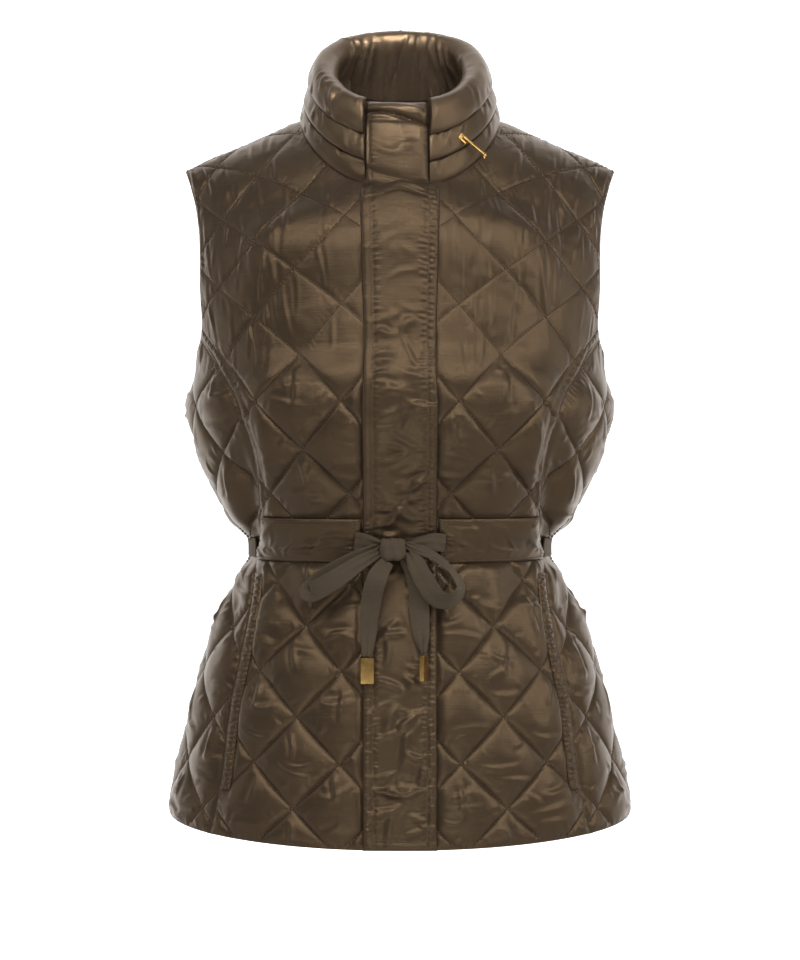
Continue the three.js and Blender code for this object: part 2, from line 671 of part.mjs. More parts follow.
function placketSolid() {
  const bottom = HEM_FRONT;
  const across = [-1, -0.93, -0.72, -0.66, -0.2, 0.2, 0.66, 0.72, 0.93, 1];
  const raise = [0.35, 0.9, 0.9, 0.45, 0.85, 0.85, 0.45, 0.9, 0.9, 0.35];
  const columns = across.length - 1;
  return gridSolid(columns, 26, (u, v, layer) => {
    const i = Math.round(u * columns);
    const arc = across[i] * PLACKET_HALF_WIDTH;
    const run = lerp(bottom, runAt("front", 0, PLACKET_TOP), v);
    const ends = pillow(v, 0.012);
    const out = OVER_FRONT + (layer ? 1.2 + PLACKET_THICKNESS * raise[i] * (0.4 + 0.6 * ends) : 0);
    return clothPoint("front", arc, run, out);
  });
}

// The zip under the placket: a narrow tape between the two front edges
function frontZipSolid() {
  const top = neckOnCloth("front", 0.05)[1] - 1;
  return gridSolid(1, 36, (u, v, layer) => {
    const arc = lerp(-2.7, 2.7, u);
    const run = lerp(HEM_FRONT + 6, top, v);
    return clothPoint("front", arc, run, layer ? 0.9 : -0.9);
  });
}

const POCKET = { low: -602, high: -412, width: 10, inset: 2.5, thickness: 2.2 };
function pocketEdgeSolid() {
  return gridSolid(3, 20, (u, v, layer) => {
    const run = lerp(POCKET.low, POCKET.high, v);
    const arc = princessArc(run) - POCKET.inset - lerp(POCKET.width, 0, u);
    const full = 0.4 + 0.6 * pillow(u, 0.34);
    return clothPoint("front", arc, run, OVER_FRONT + (layer ? 0.8 + POCKET.thickness * full : 0));
  });
}

const pocketFlat = (arc, run) => {
  const middle = princessArc(Math.min(run, -188)) - POCKET.inset - POCKET.width / 2;
  const past = Math.max(smooth(run, POCKET.high, POCKET.high + 14), 1 - smooth(run, POCKET.low - 14, POCKET.low));
  return Math.max(beyond(Math.abs(arc - middle), POCKET.width / 2), past);
};

// The collar: two paths, along the neckline and along the rim, with straight walls between them

const RIM = { halfWidth: 66, front: -78, back: 45, frontHeight: 8, backHeight: 81, lift: 5 };
const COLLAR_POINTS = 160;

function evenly(points) {
  const rows = points.map((point) => ({ point, along: 0 }));
  for (let i = 1; i < rows.length; i += 1) {
    rows[i].along = rows[i - 1].along + rows[i].point.distanceTo(rows[i - 1].point);
  }
  const total = rows.at(-1).along;
  const pointAt = (share) => {
    const at = clamp(share, 0, 1) * total;
    let i = 0;
    while (i < rows.length - 2 && at > rows[i + 1].along) i += 1;
    const t = (at - rows[i].along) / (rows[i + 1].along - rows[i].along);
    return rows[i].point.clone().lerp(rows[i + 1].point, t);
  };
  return { pointAt, total };
}

const neckPath = evenly([
  ...steps(0, Math.PI / 2, COLLAR_POINTS).map((angle) => neckPoint("front", angle)),
  ...steps(Math.PI / 2, 0, COLLAR_POINTS).slice(1).map((angle) => neckPoint("back", angle)),
]);
const rimPath = evenly(steps(0, Math.PI, 2 * COLLAR_POINTS).map((angle) => {
  const forward = (1 + Math.cos(angle)) / 2;
  return new THREE.Vector3(
    RIM.halfWidth * Math.pow(Math.sin(angle), 0.92),
    lerp(RIM.back, RIM.front, forward),
    lerp(RIM.backHeight, RIM.frontHeight, forward) + RIM.lift * Math.sin(angle) ** 2,
  );
}));

// Where along the collar a distance from the centre front lies, at a level up the collar
const collarShare = (distance, up) => distance / lerp(neckPath.total, rimPath.total, up);

// A point of the collar: around from 0 at the front to 1 at the nape, negative on the wearer's
// right, and up from 0 at the neckline to 1 at the rim
function collarMiddle(around, up) {
  const share = Math.abs(around);
  const point = neckPath.pointAt(share).lerp(rimPath.pointAt(share), up);
  if (around < 0) point.x *= -1;
  return point;
}

function collarPoint(around, up, out) {
  const probe = 0.01;
  const across = collarMiddle(around + probe, up).sub(collarMiddle(around - probe, up));
  if (Math.abs(around) > 1 - probe) across.set(-Math.sign(around), 0, 0);
  const rise = collarMiddle(around, up + probe).sub(collarMiddle(around, up - probe));
  const normal = across.cross(rise).normalize();
  return collarMiddle(around, up).addScaledVector(normal, out);
}

const TAB = { left: 25, right: 30.5 }; // how far the collar's front tab reaches to either side
const COLLAR_STEPS = 38;

// A band of the collar that runs from one side of the tab round the nape to the other
function collarBand(profile) {
  const shape = profile;
  const rows = shape.length - 1;
  const points = [];
  const ring = 2 * shape.length;
  for (let i = 0; i <= COLLAR_STEPS; i += 1) {
    const turnShare = i / COLLAR_STEPS;
    const aroundAt = (up) => {
      const round = lerp(collarShare(TAB.left + SEAM_GAP, up), 2 - collarShare(TAB.right + SEAM_GAP, up), turnShare);
      return round <= 1 ? round : round - 2;
    };
    shape.forEach((p) => points.push(collarPoint(aroundAt(p.up), p.up, p.outer)));
    [...shape].reverse().forEach((p) => points.push(collarPoint(aroundAt(p.up), p.up, p.inner)));
  }
  const triangles = [];
  const quad = (a, b, c, d) => triangles.push([a, b, c], [a, c, d]);
  for (let i = 0; i < COLLAR_STEPS; i += 1) {
    for (let k = 0; k < ring; k += 1) {
      const next = (k + 1) % ring;
      quad(i * ring + k, (i + 1) * ring + k, (i + 1) * ring + next, i * ring + next);
    }
  }
  const last = COLLAR_STEPS * ring;
  for (let k = 0; k < rows; k += 1) {
    quad(k, k + 1, ring - 2 - k, ring - 1 - k);
    quad(last + k, last + ring - 1 - k, last + ring - 2 - k, last + k + 1);
  }
  return solid(points, triangles);
}

// Each band's profile: how far up the collar, and how far out its two faces lie
const STAND_PROFILE = [
  { up: 0.035, outer: 2.5, inner: -2 },
  { up: 0.15, outer: 4.5, inner: -3.5 },
  { up: 0.275, outer: 4, inner: -4.5 },
];
const MIDDLE_PROFILE = [
  { up: 0.285, outer: 5.5, inner: -4.5 },
  { up: 0.34, outer: 7, inner: -5.5 },
  { up: 0.47, outer: 7.5, inner: -7 },
  { up: 0.585, outer: 6, inner: -8 },
];
const ROLL_PROFILE = [
  { up: 0.595, outer: 7, inner: -8 },
  { up: 0.66, outer: 11, inner: -9.5 },
  { up: 0.8, outer: 12, inner: -11.5 },
  { up: 0.95, outer: 11, inner: -12 },
  { up: 1.04, outer: 6, inner: -8 },
  { up: 1.065, outer: 1, inner: -3 },
];

// The collar's front tab, which closes it over the placket's top
const TAB_ROWS = [
  { up: -0.03, outer: 9.5, inner: 5.5 },
  { up: 0.03, outer: 12.5, inner: 4 },
  { up: 0.12, outer: 13, inner: -1 },
  { up: 0.4, outer: 14.5, inner: -6 },
  { up: 0.7, outer: 14, inner: -8 },
  { up: 0.76, outer: 11.5, inner: -9 },
  { up: 0.84, outer: 14, inner: -10 },
  { up: 0.98, outer: 12, inner: -8 },
  { up: 1.03, outer: 6, inner: -3 },
];

function collarTabSolid() {
  const rows = TAB_ROWS.length - 1;
  return gridSolid(8, rows, (u, v, layer) => {
    const row = TAB_ROWS[Math.round(v * rows)];
    const around = collarShare(lerp(-TAB.right, TAB.left, u), row.up);
    const full = pillow(u, 0.13);
    const middle = (row.outer + row.inner) / 2;
    const face = layer ? row.outer : row.inner;
    return collarPoint(around, row.up, lerp(middle, face, 0.55 + 0.45 * full));
  });
}

// The ribbon round the waist, from one casing over the back to the other
const BEHIND_CASING = 3;
function ribbonAround() {
  const start = CASING_OUTER + BEHIND_CASING;
  const onFront = sideArc("front", WAIST_HEIGHT) - start;
  const half = onFront + sideArc("back", WAIST_HEIGHT);
  const out = WALL / 2 + LAYER_GAP + 0.5;
  return gridSolid(56, 2, (u, v, layer) => {
    const along = Math.abs(2 * u - 1) * half;
    const run = WAIST_HEIGHT + (v - 0.5) * RIBBON_WIDTH;
    const lift = out + layer * RIBBON_THICKNESS;
    const point = along > half - onFront
      ? smoothPoint("front", start + half - along, run).addScaledVector(outward("front", start + half - along, run), lift)
      : smoothPoint("back", along, run).addScaledVector(outward("back", along, run), lift);
    point.x = Math.abs(point.x) * (u < 0.5 ? 1 : -1);
    return point;
  });
}

// A ribbon through stations: where it is, how wide, and how far its width leans out of the front
function ribbonSolid(stations, count, thickness = RIBBON_THICKNESS) {
  const path = new THREE.CatmullRomCurve3(stations.map((p) => new THREE.Vector3(p.x, p.y, p.z)), false, "centripetal");
  const reading = (key) => (u) => {
    const at = u * (stations.length - 1);
    const i = Math.min(stations.length - 2, Math.floor(at));
    return lerp(stations[i][key], stations[i + 1][key], at - i);
  };
  const [width, lean] = [reading("width"), reading("lean")];
  const outFromFront = new THREE.Vector3(0, -1, 0);
  return gridSolid(count, 2, (u, v, layer) => {
    const along = path.getTangent(u);
    const level = outFromFront.clone().cross(along).normalize();
    const direction = level.applyAxisAngle(along, THREE.MathUtils.degToRad(lean(u)));
    const normal = along.clone().cross(direction).normalize();
    return path.getPoint(u).addScaledVector(direction, (v - 0.5) * width(u))
      .addScaledVector(normal, (layer - 0.5) * thickness);
  });
}

// The bow, in front of the placket at the waist
const CENTRE_RIGHT = [
  { x: -40, y: -114.9, z: -379, width: 16, lean: 0 },
  { x: -31, y: -119, z: -380, width: 15, lean: 0 },
  { x: -15.1, y: -122.7, z: -383, width: 8, lean: 0 },
];
const CENTRE_LEFT = [
  { x: 40, y: -114.6, z: -381, width: 16, lean: 0 },
  { x: 30, y: -119, z: -380, width: 16, lean: 0 },
  { x: 2.1, y: -122.7, z: -383, width: 8, lean: 0 },
];
const LOOP_RIGHT = [
  { x: -19.1, y: -126.5, z: -384.5, width: 8, lean: 0 },
  { x: -38, y: -129, z: -394, width: 15, lean: 0 },
  { x: -60, y: -129, z: -407, width: 18, lean: 0 },
  { x: -76, y: -130, z: -419, width: 18, lean: 0 },
  { x: -79.5, y: -133.5, z: -423, width: 18, lean: 0 },
  { x: -74, y: -137, z: -421.5, width: 18, lean: 0 },
  { x: -56, y: -140.5, z: -411, width: 17, lean: 0 },
  { x: -38, y: -138.5, z: -399, width: 14, lean: 0 },
  { x: -19.1, y: -131, z: -388.5, width: 8, lean: 0 },
];
const LOOP_LEFT = [
  { x: 7.9, y: -129.5, z: -388, width: 8, lean: 0 },
  { x: 14, y: -139, z: -398, width: 16, lean: 0 },
  { x: 23, y: -142, z: -415, width: 18, lean: 8 },
  { x: 34, y: -142, z: -429, width: 18, lean: 25 },
  { x: 46, y: -140, z: -430, width: 18, lean: 45 },
  { x: 53.5, y: -138, z: -420, width: 18, lean: 65 },
  { x: 46, y: -136.5, z: -405, width: 17, lean: 75 },
  { x: 30, y: -133.5, z: -392, width: 14, lean: 60 },
  { x: 6.3, y: -126.5, z: -382.5, width: 7, lean: 20 },
];
const TAIL_RIGHT = [
  { x: -11, y: -132.5, z: -396.1, width: 12, lean: 0 },
  { x: -20, y: -143.5, z: -410, width: 18, lean: 0 },
  { x: -26, y: -137, z: -435, width: 18, lean: 0 },
  { x: -28, y: -140, z: -462, width: 14, lean: 0 },
  { x: -29, y: -146, z: -479, width: 9, lean: 0 },
];
const TAIL_LEFT = [
  { x: 2.2, y: -127, z: -393.4, width: 7, lean: 0 },
  { x: 14, y: -126.5, z: -412, width: 17, lean: 0 },
  { x: 17, y: -131.5, z: -440, width: 18, lean: 0 },
  { x: 19, y: -139, z: -462, width: 14, lean: 10 },
  { x: 21, y: -146, z: -476.5, width: 8, lean: 60 },
];
const KNOT = { x: -6.5, y: -129, z: -386, width: 22, depth: 15, height: 19, power: 2.6 };

function knotSolid() {
  const geometry = mergeVertices(new THREE.SphereGeometry(0.5, 14, 8).deleteAttribute("uv").deleteAttribute("normal"));
  const place = geometry.attributes.position;
  for (let i = 0; i < place.count; i += 1) {
    const point = new THREE.Vector3().fromBufferAttribute(place, i);
    const size = ["x", "y", "z"].reduce((sum, k) => sum + Math.pow(2 * Math.abs(point[k]), KNOT.power), 0);
    point.multiplyScalar(Math.pow(size, -1 / KNOT.power));
    place.setXYZ(i, point.x * KNOT.width, point.y * KNOT.depth, point.z * KNOT.height);
  }
  return geometry.translate(KNOT.x, KNOT.y, KNOT.z);
}

// The metal ends of the ribbon
const TIP = { width: 12, depth: 4, height: 22.5 };
const TIP_FORWARD = 2;
function tipSolid(last, turnAngle) {
  return new THREE.BoxGeometry(TIP.width, TIP.depth, TIP.height)
    .rotateZ(THREE.MathUtils.degToRad(turnAngle))
    .translate(last.x, last.y - TIP_FORWARD, last.z - TIP.height / 2 - 3.5 * SEAM_GAP);
}

// The collar zip's slider and its pull, which lies across the zip's fold
const ZIP = { around: 0.215, up: 0.385, out: 9.4, slant: 218 };
const SLIDER = { length: 9, width: 7, thickness: 2.6 };
const PULL = { length: 27, width: 2.8, thickness: 1.8 }; // it turns about the middle of its round end

function onCollar(geometry, out) {
  const at = collarMiddle(ZIP.around, ZIP.up);
  const normal = collarPoint(ZIP.around, ZIP.up, 1).sub(at).normalize();
  const level = new THREE.Vector3(0, 0, 1).cross(normal).normalize().negate();
  const rise = normal.clone().cross(level).negate();
  const frame = new THREE.Matrix4().makeBasis(level, rise, level.clone().cross(rise));
  const slant = new THREE.Matrix4().makeRotationZ(THREE.MathUtils.degToRad(ZIP.slant));
  return geometry.applyMatrix4(frame.multiply(slant))
    .translate(...at.addScaledVector(normal, out).toArray());
}

const root = new THREE.Group();
function add(name, geometry, material, parent = root) {
  const mesh = new THREE.Mesh(geometry, material);
  mesh.name = name;
  parent.add(mesh);
  return mesh;
}

// Body panels
const front = frontOutline();
const frontPanel = panelSolid(quiltedPanel({
  chart: "front",
  outline: front.outline,
  lattice: quiltLattice(FRONT_QUILT, "front"),
  cells: 3,
  flat: (arc, run) => frontFlat(arc, run) * pocketFlat(arc, run),
}));
const sidePanel = panelSolid(quiltedPanel({
  chart: "front",
  outline: sideOutline(front),
  lattice: quiltLattice(SIDE_QUILT, "front"),
  cells: 3,
  flat: ribbonFlat,
}));
const backPanel = panelSolid(quiltedPanel({
  chart: "back",
  outline: backOutline(),
  lattice: quiltLattice(BACK_QUILT, "back"),
  cells: 3,
  flat: ribbonFlat,
}));
add("front_left", frontPanel, SATIN);
add("front_right", mirrored(frontPanel), SATIN);
add("side_left", sidePanel, SATIN);
add("side_right", mirrored(sidePanel), SATIN);
add("back", backPanel, SATIN);

// Closing, casings and pocket edges
const casing = casingSolid();
const pocketEdge = pocketEdgeSolid();
add("front_zip", frontZipSolid(), ZIP_TAPE);
add("placket", placketSolid(), SATIN);
add("casing_left", casing, SATIN);
add("casing_right", mirrored(casing), SATIN);
add("pocket_edge_left", pocketEdge, SATIN);
add("pocket_edge_right", mirrored(pocketEdge), SATIN);

// Collar
add("collar_stand", collarBand(STAND_PROFILE), SATIN);
add("collar_middle", collarBand(MIDDLE_PROFILE), SATIN);
add("collar_roll", collarBand(ROLL_PROFILE), SATIN);
add("collar_tab", collarTabSolid(), SATIN);

// Collar zip's slider and pull
const sliderBody = new THREE.BoxGeometry(SLIDER.length, SLIDER.width, SLIDER.thickness);
const roundEnd = new THREE.Shape()
  .absarc(0, 0, PULL.thickness / 2, Math.PI / 2, (3 * Math.PI) / 2)
  .lineTo(PULL.length - PULL.thickness / 2, -PULL.thickness / 2)
  .lineTo(PULL.length - PULL.thickness / 2, PULL.thickness / 2);
const pullBar = new THREE.ExtrudeGeometry(roundEnd, { depth: PULL.width, bevelEnabled: false, curveSegments: 8 })
  .translate(0, 0, -PULL.width / 2)
  .rotateX(Math.PI / 2);
add("zip_slider", onCollar(sliderBody, ZIP.out), GOLD);
add("zip_pull", onCollar(pullBar, ZIP.out + SLIDER.thickness / 2 + PULL.thickness / 2 + SEAM_GAP), GOLD);

// Ribbon and bow
const RIBBON_STEPS = 14;
add("ribbon_waist", ribbonAround(), GROSGRAIN);
add("ribbon_centre_right", ribbonSolid(CENTRE_RIGHT, 4), GROSGRAIN);
add("ribbon_centre_left", ribbonSolid(CENTRE_LEFT, 5), GROSGRAIN);
add("bow_loop_right", ribbonSolid(LOOP_RIGHT, 2 * RIBBON_STEPS), GROSGRAIN);
add("bow_loop_left", ribbonSolid(LOOP_LEFT, 2 * RIBBON_STEPS), GROSGRAIN);
add("bow_knot", knotSolid(), GROSGRAIN);
add("ribbon_tail_right", ribbonSolid(TAIL_RIGHT, RIBBON_STEPS), GROSGRAIN);
add("ribbon_tail_left", ribbonSolid(TAIL_LEFT, RIBBON_STEPS), GROSGRAIN);
add("ribbon_tip_right", tipSolid(TAIL_RIGHT.at(-1), 12), GOLD);
add("ribbon_tip_left", tipSolid(TAIL_LEFT.at(-1), 68), GOLD);

export default root;
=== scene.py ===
"""A quilted vest with a stand collar and a ribbon tied at the waist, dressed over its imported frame."""
import math

import bmesh
import bpy
import numpy as np
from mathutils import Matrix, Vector, geometry


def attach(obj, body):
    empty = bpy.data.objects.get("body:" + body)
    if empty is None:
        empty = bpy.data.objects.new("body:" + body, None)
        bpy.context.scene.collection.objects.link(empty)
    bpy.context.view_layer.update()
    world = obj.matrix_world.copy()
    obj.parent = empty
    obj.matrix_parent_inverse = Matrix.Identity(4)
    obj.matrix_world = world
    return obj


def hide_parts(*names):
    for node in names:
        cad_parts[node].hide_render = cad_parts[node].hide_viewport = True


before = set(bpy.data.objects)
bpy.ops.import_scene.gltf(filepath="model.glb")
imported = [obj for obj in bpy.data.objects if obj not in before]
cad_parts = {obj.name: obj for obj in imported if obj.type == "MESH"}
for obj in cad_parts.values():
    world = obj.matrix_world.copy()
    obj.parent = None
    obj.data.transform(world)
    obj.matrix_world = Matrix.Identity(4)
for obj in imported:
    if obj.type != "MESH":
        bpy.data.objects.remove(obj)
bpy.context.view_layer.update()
scene = bpy.context.scene
MM = 0.001
QUARTER_TURN = math.pi / 2

# Sizes that repeat the solids' own, in millimetres
WALL = 2.4
BUST_HEIGHT = -262
SECTION_POWER = 2.25
CHEST_POWER = {"front": 1.85, "back": 2.6}
FACING = {"front": -1, "back": 1}
RIDGE_DEPTH = 8
NECK_HALF_WIDTH = 89
NECK_DROP, NAPE_DROP, NECK_CURVE = 68, 14, 0.6
SHOULDER_TIP, SHOULDER_DROP = 199, 48
UNDERARM = -208
HEM_FRONT, HEM_SIDE = -650, -629
PLACKET_HALF = 32.5
PLACKET_TOP = -73
BAND = 9.5
WAIST = -388
CASING_LOW, CASING_HIGH = -400, -359
SEAM_TOP = -188  # where the princess seam's own table ends, under the armhole
SEAM_MEETS_ARMHOLE = -190
SEAM_BENDS_OUT = -215

# Sizes of the dressed cloth alone
HALF_GAP = 0.03
PUFF_HEIGHT = 6.0

SECTIONS = np.array([
    # height, half width, front depth, back depth
    (-670, 219, 150, 146), (-630, 211, 147, 142), (-570, 195.5, 142, 136), (-515, 183.5, 134, 127),
    (-460, 165, 122, 112), (-415, 145, 110, 97), (-389, 134.5, 107, 92), (-372, 147.5, 110, 96),
    (-345, 163.5, 119, 103), (-305, 181, 131, 110), (-262, 190, 138, 115), (-225, 184, 138, 115),
    (-190, 186, 138, 115), (-150, 192.5, 138, 115), (-115, 193, 138, 115), (-85, 195, 138, 115),
    (-62, 198.5, 138, 115), (-40, 206, 138, 115)], float)
PRINCESS = np.array([
    # height, distance from the middle
    (-670, 176), (-606, 161), (-524, 150), (-480, 141), (-436, 133), (-399, 129), (-357, 128),
    (-320, 129), (-287, 133), (-247, 147), (-215, 163), (-188, 172)], float)
ARMHOLE = np.array([
    # height, share of the half width in front, and behind
    (-208, 1, 1), (-207, 0.991, 0.99), (-204, 0.98, 0.978), (-197, 0.967, 0.965), (-180, 0.951, 0.95),
    (-150, 0.935, 0.938), (-115, 0.936, 0.94), (-85, 0.944, 0.948), (-62, 0.959, 0.961),
    (-48, 0.967, 0.967)], float)
QUILT = np.array([
    # row, height, arc to the guide column, half the width of a diamond
    (0, -40, 84, 41), (2, -106.5, 88, 41.5), (4, -175.5, 94, 42), (6, -255.5, 90, 39),
    (8, -337, 82, 37), (10, -416.5, 80, 36.5), (12, -494.5, 91, 39), (14, -575, 94, 40.5),
    (16, -655, 98, 42)], float)
ROW_PITCH_TOP = 40
FOLDS = [
    # chart, arc, low, high, depth, width
    ("front", 147, -392, -275, 9, 13), ("front", 168, -470, -398, 5, 14),
    ("front", 100, -440, -402, 3, 12), ("back", 128, -390, -290, 6, 16),
    ("back", 62, -388, -320, 5, 15), ("back", 96, -470, -392, 5, 16)]


def curve(xs, ys):
    """A smooth function through a table's points that never overshoots them."""
    order = np.argsort(xs)
    xs, ys = np.asarray(xs, float)[order], np.asarray(ys, float)[order]
    step = np.diff(ys) / np.diff(xs)
    a, b = step[:-1], step[1:]
    inner = np.where(a * b > 0, 2 * a * b / np.where(a + b == 0, 1, a + b), 0)
    slope = np.concatenate([step[:1], inner, step[-1:]])

    def at(x):
        x = np.asarray(x, float)
        i = np.clip(np.searchsorted(xs, x, side="right") - 1, 0, len(xs) - 2)
        span = xs[i + 1] - xs[i]
        t = (x - xs[i]) / span
        rise = ys[i + 1] - ys[i]
        s0, s1 = span * slope[i], span * slope[i + 1]
        inside = ys[i] + t * (s0 + t * (3 * rise - 2 * s0 - s1 + t * (s0 + s1 - 2 * rise)))
        below, above = ys[0] + (x - xs[0]) * slope[0], ys[-1] + (x - xs[-1]) * slope[-1]
        return np.where(x <= xs[0], below, np.where(x >= xs[-1], above, inside))
    return at


def smooth(x, low, high):
    """From 0 at low to 1 at high, level at both ends."""
    t = np.clip((np.asarray(x, float) - low) / (high - low), 0, 1)
    return t * t * (3 - 2 * t)


half_width = curve(SECTIONS[:, 0], SECTIONS[:, 1])
DEPTH = {"front": curve(SECTIONS[:, 0], SECTIONS[:, 2]),
         "back": curve(SECTIONS[:, 0], SECTIONS[:, 3])}
princess_across = curve(PRINCESS[:, 0], PRINCESS[:, 1])


def ridge_height(across):
    return -SHOULDER_DROP * (across - NECK_HALF_WIDTH) / (SHOULDER_TIP - NECK_HALF_WIDTH)


def climb(across, height):
    """Share of the way from the bust's height up to the shoulder ridge."""
    return np.clip((height - BUST_HEIGHT) / (ridge_height(across) - BUST_HEIGHT), 0, 1)


def body_point(chart, share, height, rise):
    """A point of the plain form, at a share of its half width and of the climb to the ridge."""
    across = share * half_width(height)
    level = np.minimum(height, BUST_HEIGHT)
    power = CHEST_POWER[chart]
    shrink = np.power(np.maximum(0, 1 - np.power(rise, power)), 1 / power)
    around = np.power(np.maximum(0, 1 - np.power(share, SECTION_POWER)), 1 / SECTION_POWER)
    depth = FACING[chart] * DEPTH[chart](level) * around * shrink + RIDGE_DEPTH * rise * rise
    return np.stack(np.broadcast_arrays(across, depth, height), -1)


# Arc along each section against the share of its half width, on a grid of levels
ARC_STEPS = 60
LEVEL_STEP = 2.0
LOWEST_LEVEL = -680
ARC_SHARES = np.sin(np.linspace(0, 1, ARC_STEPS + 1) * QUARTER_TURN)
ARC_LEVELS = np.arange(LOWEST_LEVEL, BUST_HEIGHT + 0.01, LEVEL_STEP)
ARC_TABLE = {}
for chart in ("front", "back"):
    rows = body_point(chart, ARC_SHARES[None, :], ARC_LEVELS[:, None], np.zeros(1))
    lengths = np.linalg.norm(np.diff(rows, axis=1), axis=2)
    ARC_TABLE[chart] = np.concatenate([np.zeros((len(ARC_LEVELS), 1)), np.cumsum(lengths, 1)], 1)


def arc_reader(chart, height):
    """A function that reads the arc at a column of the table, between its levels."""
    at = (np.minimum(height, BUST_HEIGHT) - ARC_LEVELS[0]) / LEVEL_STEP
    i = np.clip(at.astype(int), 0, len(ARC_LEVELS) - 2)
    t = np.clip(at - i, 0, 1)
    table = ARC_TABLE[chart]
    return lambda column: table[i, column] * (1 - t) + table[i + 1, column] * t


def share_at(chart, arc, height):
    """Share of the half width at an arc from the centre."""
    arc, height = np.broadcast_arrays(np.asarray(arc, float), np.asarray(height, float))
    shape, arc, height = arc.shape, arc.ravel(), height.ravel()
    arc_of = arc_reader(chart, height)
    low, high = np.zeros(len(arc), int), np.full(len(arc), ARC_STEPS)
    for _ in range(6):
        mid = (low + high) // 2
        up = arc_of(mid) <= arc
        low, high = np.where(up, mid, low), np.where(up, high, mid)
    low = np.minimum(low, ARC_STEPS - 1)
    a, b = arc_of(low), arc_of(low + 1)
    f = np.clip((arc - a) / np.maximum(b - a, 1e-9), 0, 1)
    # ease between table columns along the quarter turn, so that the surface stays smooth
    found = np.sin((low + f) / ARC_STEPS * math.pi / 2)
    return np.where(arc >= arc_of(-1), 1.0, found).reshape(shape)


def arc_at(chart, share, height):
    """Arc from the centre at a share of the half width."""
    share, height = np.broadcast_arrays(np.asarray(share, float), np.asarray(height, float))
    shape, share, height = share.shape, share.ravel(), height.ravel()
    arc_of = arc_reader(chart, height)
    at = np.arcsin(np.clip(share, 0, 1)) / QUARTER_TURN * ARC_STEPS
    k = np.clip(at.astype(int), 0, ARC_STEPS - 1)
    f = at - k
    return (arc_of(k) * (1 - f) + arc_of(k + 1) * f).reshape(shape)


def side_arc(chart, height):
    return arc_at(chart, 1.0, height)


REFERENCE_ACROSS = 92
CLIMB = {}
for chart in ("front", "back"):
    top = ridge_height(REFERENCE_ACROSS)
    rise = np.sin(np.linspace(0, 1, 241) * QUARTER_TURN)
    share = REFERENCE_ACROSS / half_width(BUST_HEIGHT)
    column = body_point(chart, share, BUST_HEIGHT + (top - BUST_HEIGHT) * rise, rise)
    run = np.concatenate([[0], np.cumsum(np.linalg.norm(np.diff(column, axis=0), axis=1))])
    CLIMB[chart] = (rise, run)


def ridge_run(chart):
    return BUST_HEIGHT + CLIMB[chart][1][-1]


def run_at(chart, across, height):
    """Height below the bust, and above it the length of cloth up from there."""
    rise, run = CLIMB[chart]
    up = BUST_HEIGHT + np.interp(climb(across, height), rise, run)
    return np.where(height <= BUST_HEIGHT, height, up)


def fold_depth(chart, arc, run):
    """How deep the main folds by the waist go in, as in the solids."""
    depth = np.zeros(np.broadcast(arc, run).shape)
    for name, middle_arc, low, high, most, width in FOLDS:
        if name != chart:
            continue
        along = np.clip(1 - ((run - (low + high) / 2) / ((high - low) / 2)) ** 2, 0, None)
        depth = depth + most * along * np.exp(-((np.abs(arc) - middle_arc) / width) ** 2)
    return depth


def fullness(arc, run):
    """How far the front stands out over the bust and the chest, past the plain form."""
    bust = smooth(run, -345, -262) * (1 - smooth(run, -244, -205))
    chest = smooth(run, -172, -108) * (1 - smooth(run, -100, -60))
    return (8.5 * bust + 8.5 * chest) * (1 - smooth(np.abs(arc), 110, 165))


def smooth_point(chart, arc, run):
    """The plain form at an arc from the centre and a run up the cloth."""
    arc, run = np.broadcast_arrays(np.asarray(arc, float), np.asarray(run, float))
    side = np.where(arc < 0, -1.0, 1.0)
    distance = np.abs(arc)
    rise_table, run_table = CLIMB[chart]
    rise = np.interp(np.clip(run - BUST_HEIGHT, 0, run_table[-1]), run_table, rise_table)
    low = np.minimum(run, BUST_HEIGHT)
    share = share_at(chart, distance, low)
    height = np.where(run <= BUST_HEIGHT, run, BUST_HEIGHT)
    for _ in range(8):
        upper = BUST_HEIGHT + (ridge_height(share * half_width(height)) - BUST_HEIGHT) * rise
        height = np.where(run <= BUST_HEIGHT, run, upper)
    point = body_point(chart, share, height, rise)
    point[..., 0] *= side
    return point


def outward(chart, arc, run, probe=2.0):
    limit = side_arc(chart, run) - probe
    middle = np.clip(arc, -limit, limit)
    high = np.minimum(run + probe, ridge_run(chart) - 0.5)
    across = smooth_point(chart, middle + probe, run) - smooth_point(chart, middle - probe, run)
    up = smooth_point(chart, arc, high) - smooth_point(chart, arc, high - 2 * probe)
    normal = np.cross(across, up) * -FACING[chart]
    return normal / np.linalg.norm(normal, axis=-1, keepdims=True)


def cloth_point(chart, arc, run, out):
    """A point this far out from the form, with its main folds and fullness."""
    out = np.asarray(out, float)[..., None] if np.ndim(out) else out
    depth = fold_depth(chart, arc, run)[..., None]
    if chart == "front":
        depth = depth - fullness(arc, run)[..., None]
    return smooth_point(chart, arc, run) + outward(chart, arc, run) * (out - depth)


# Quilting

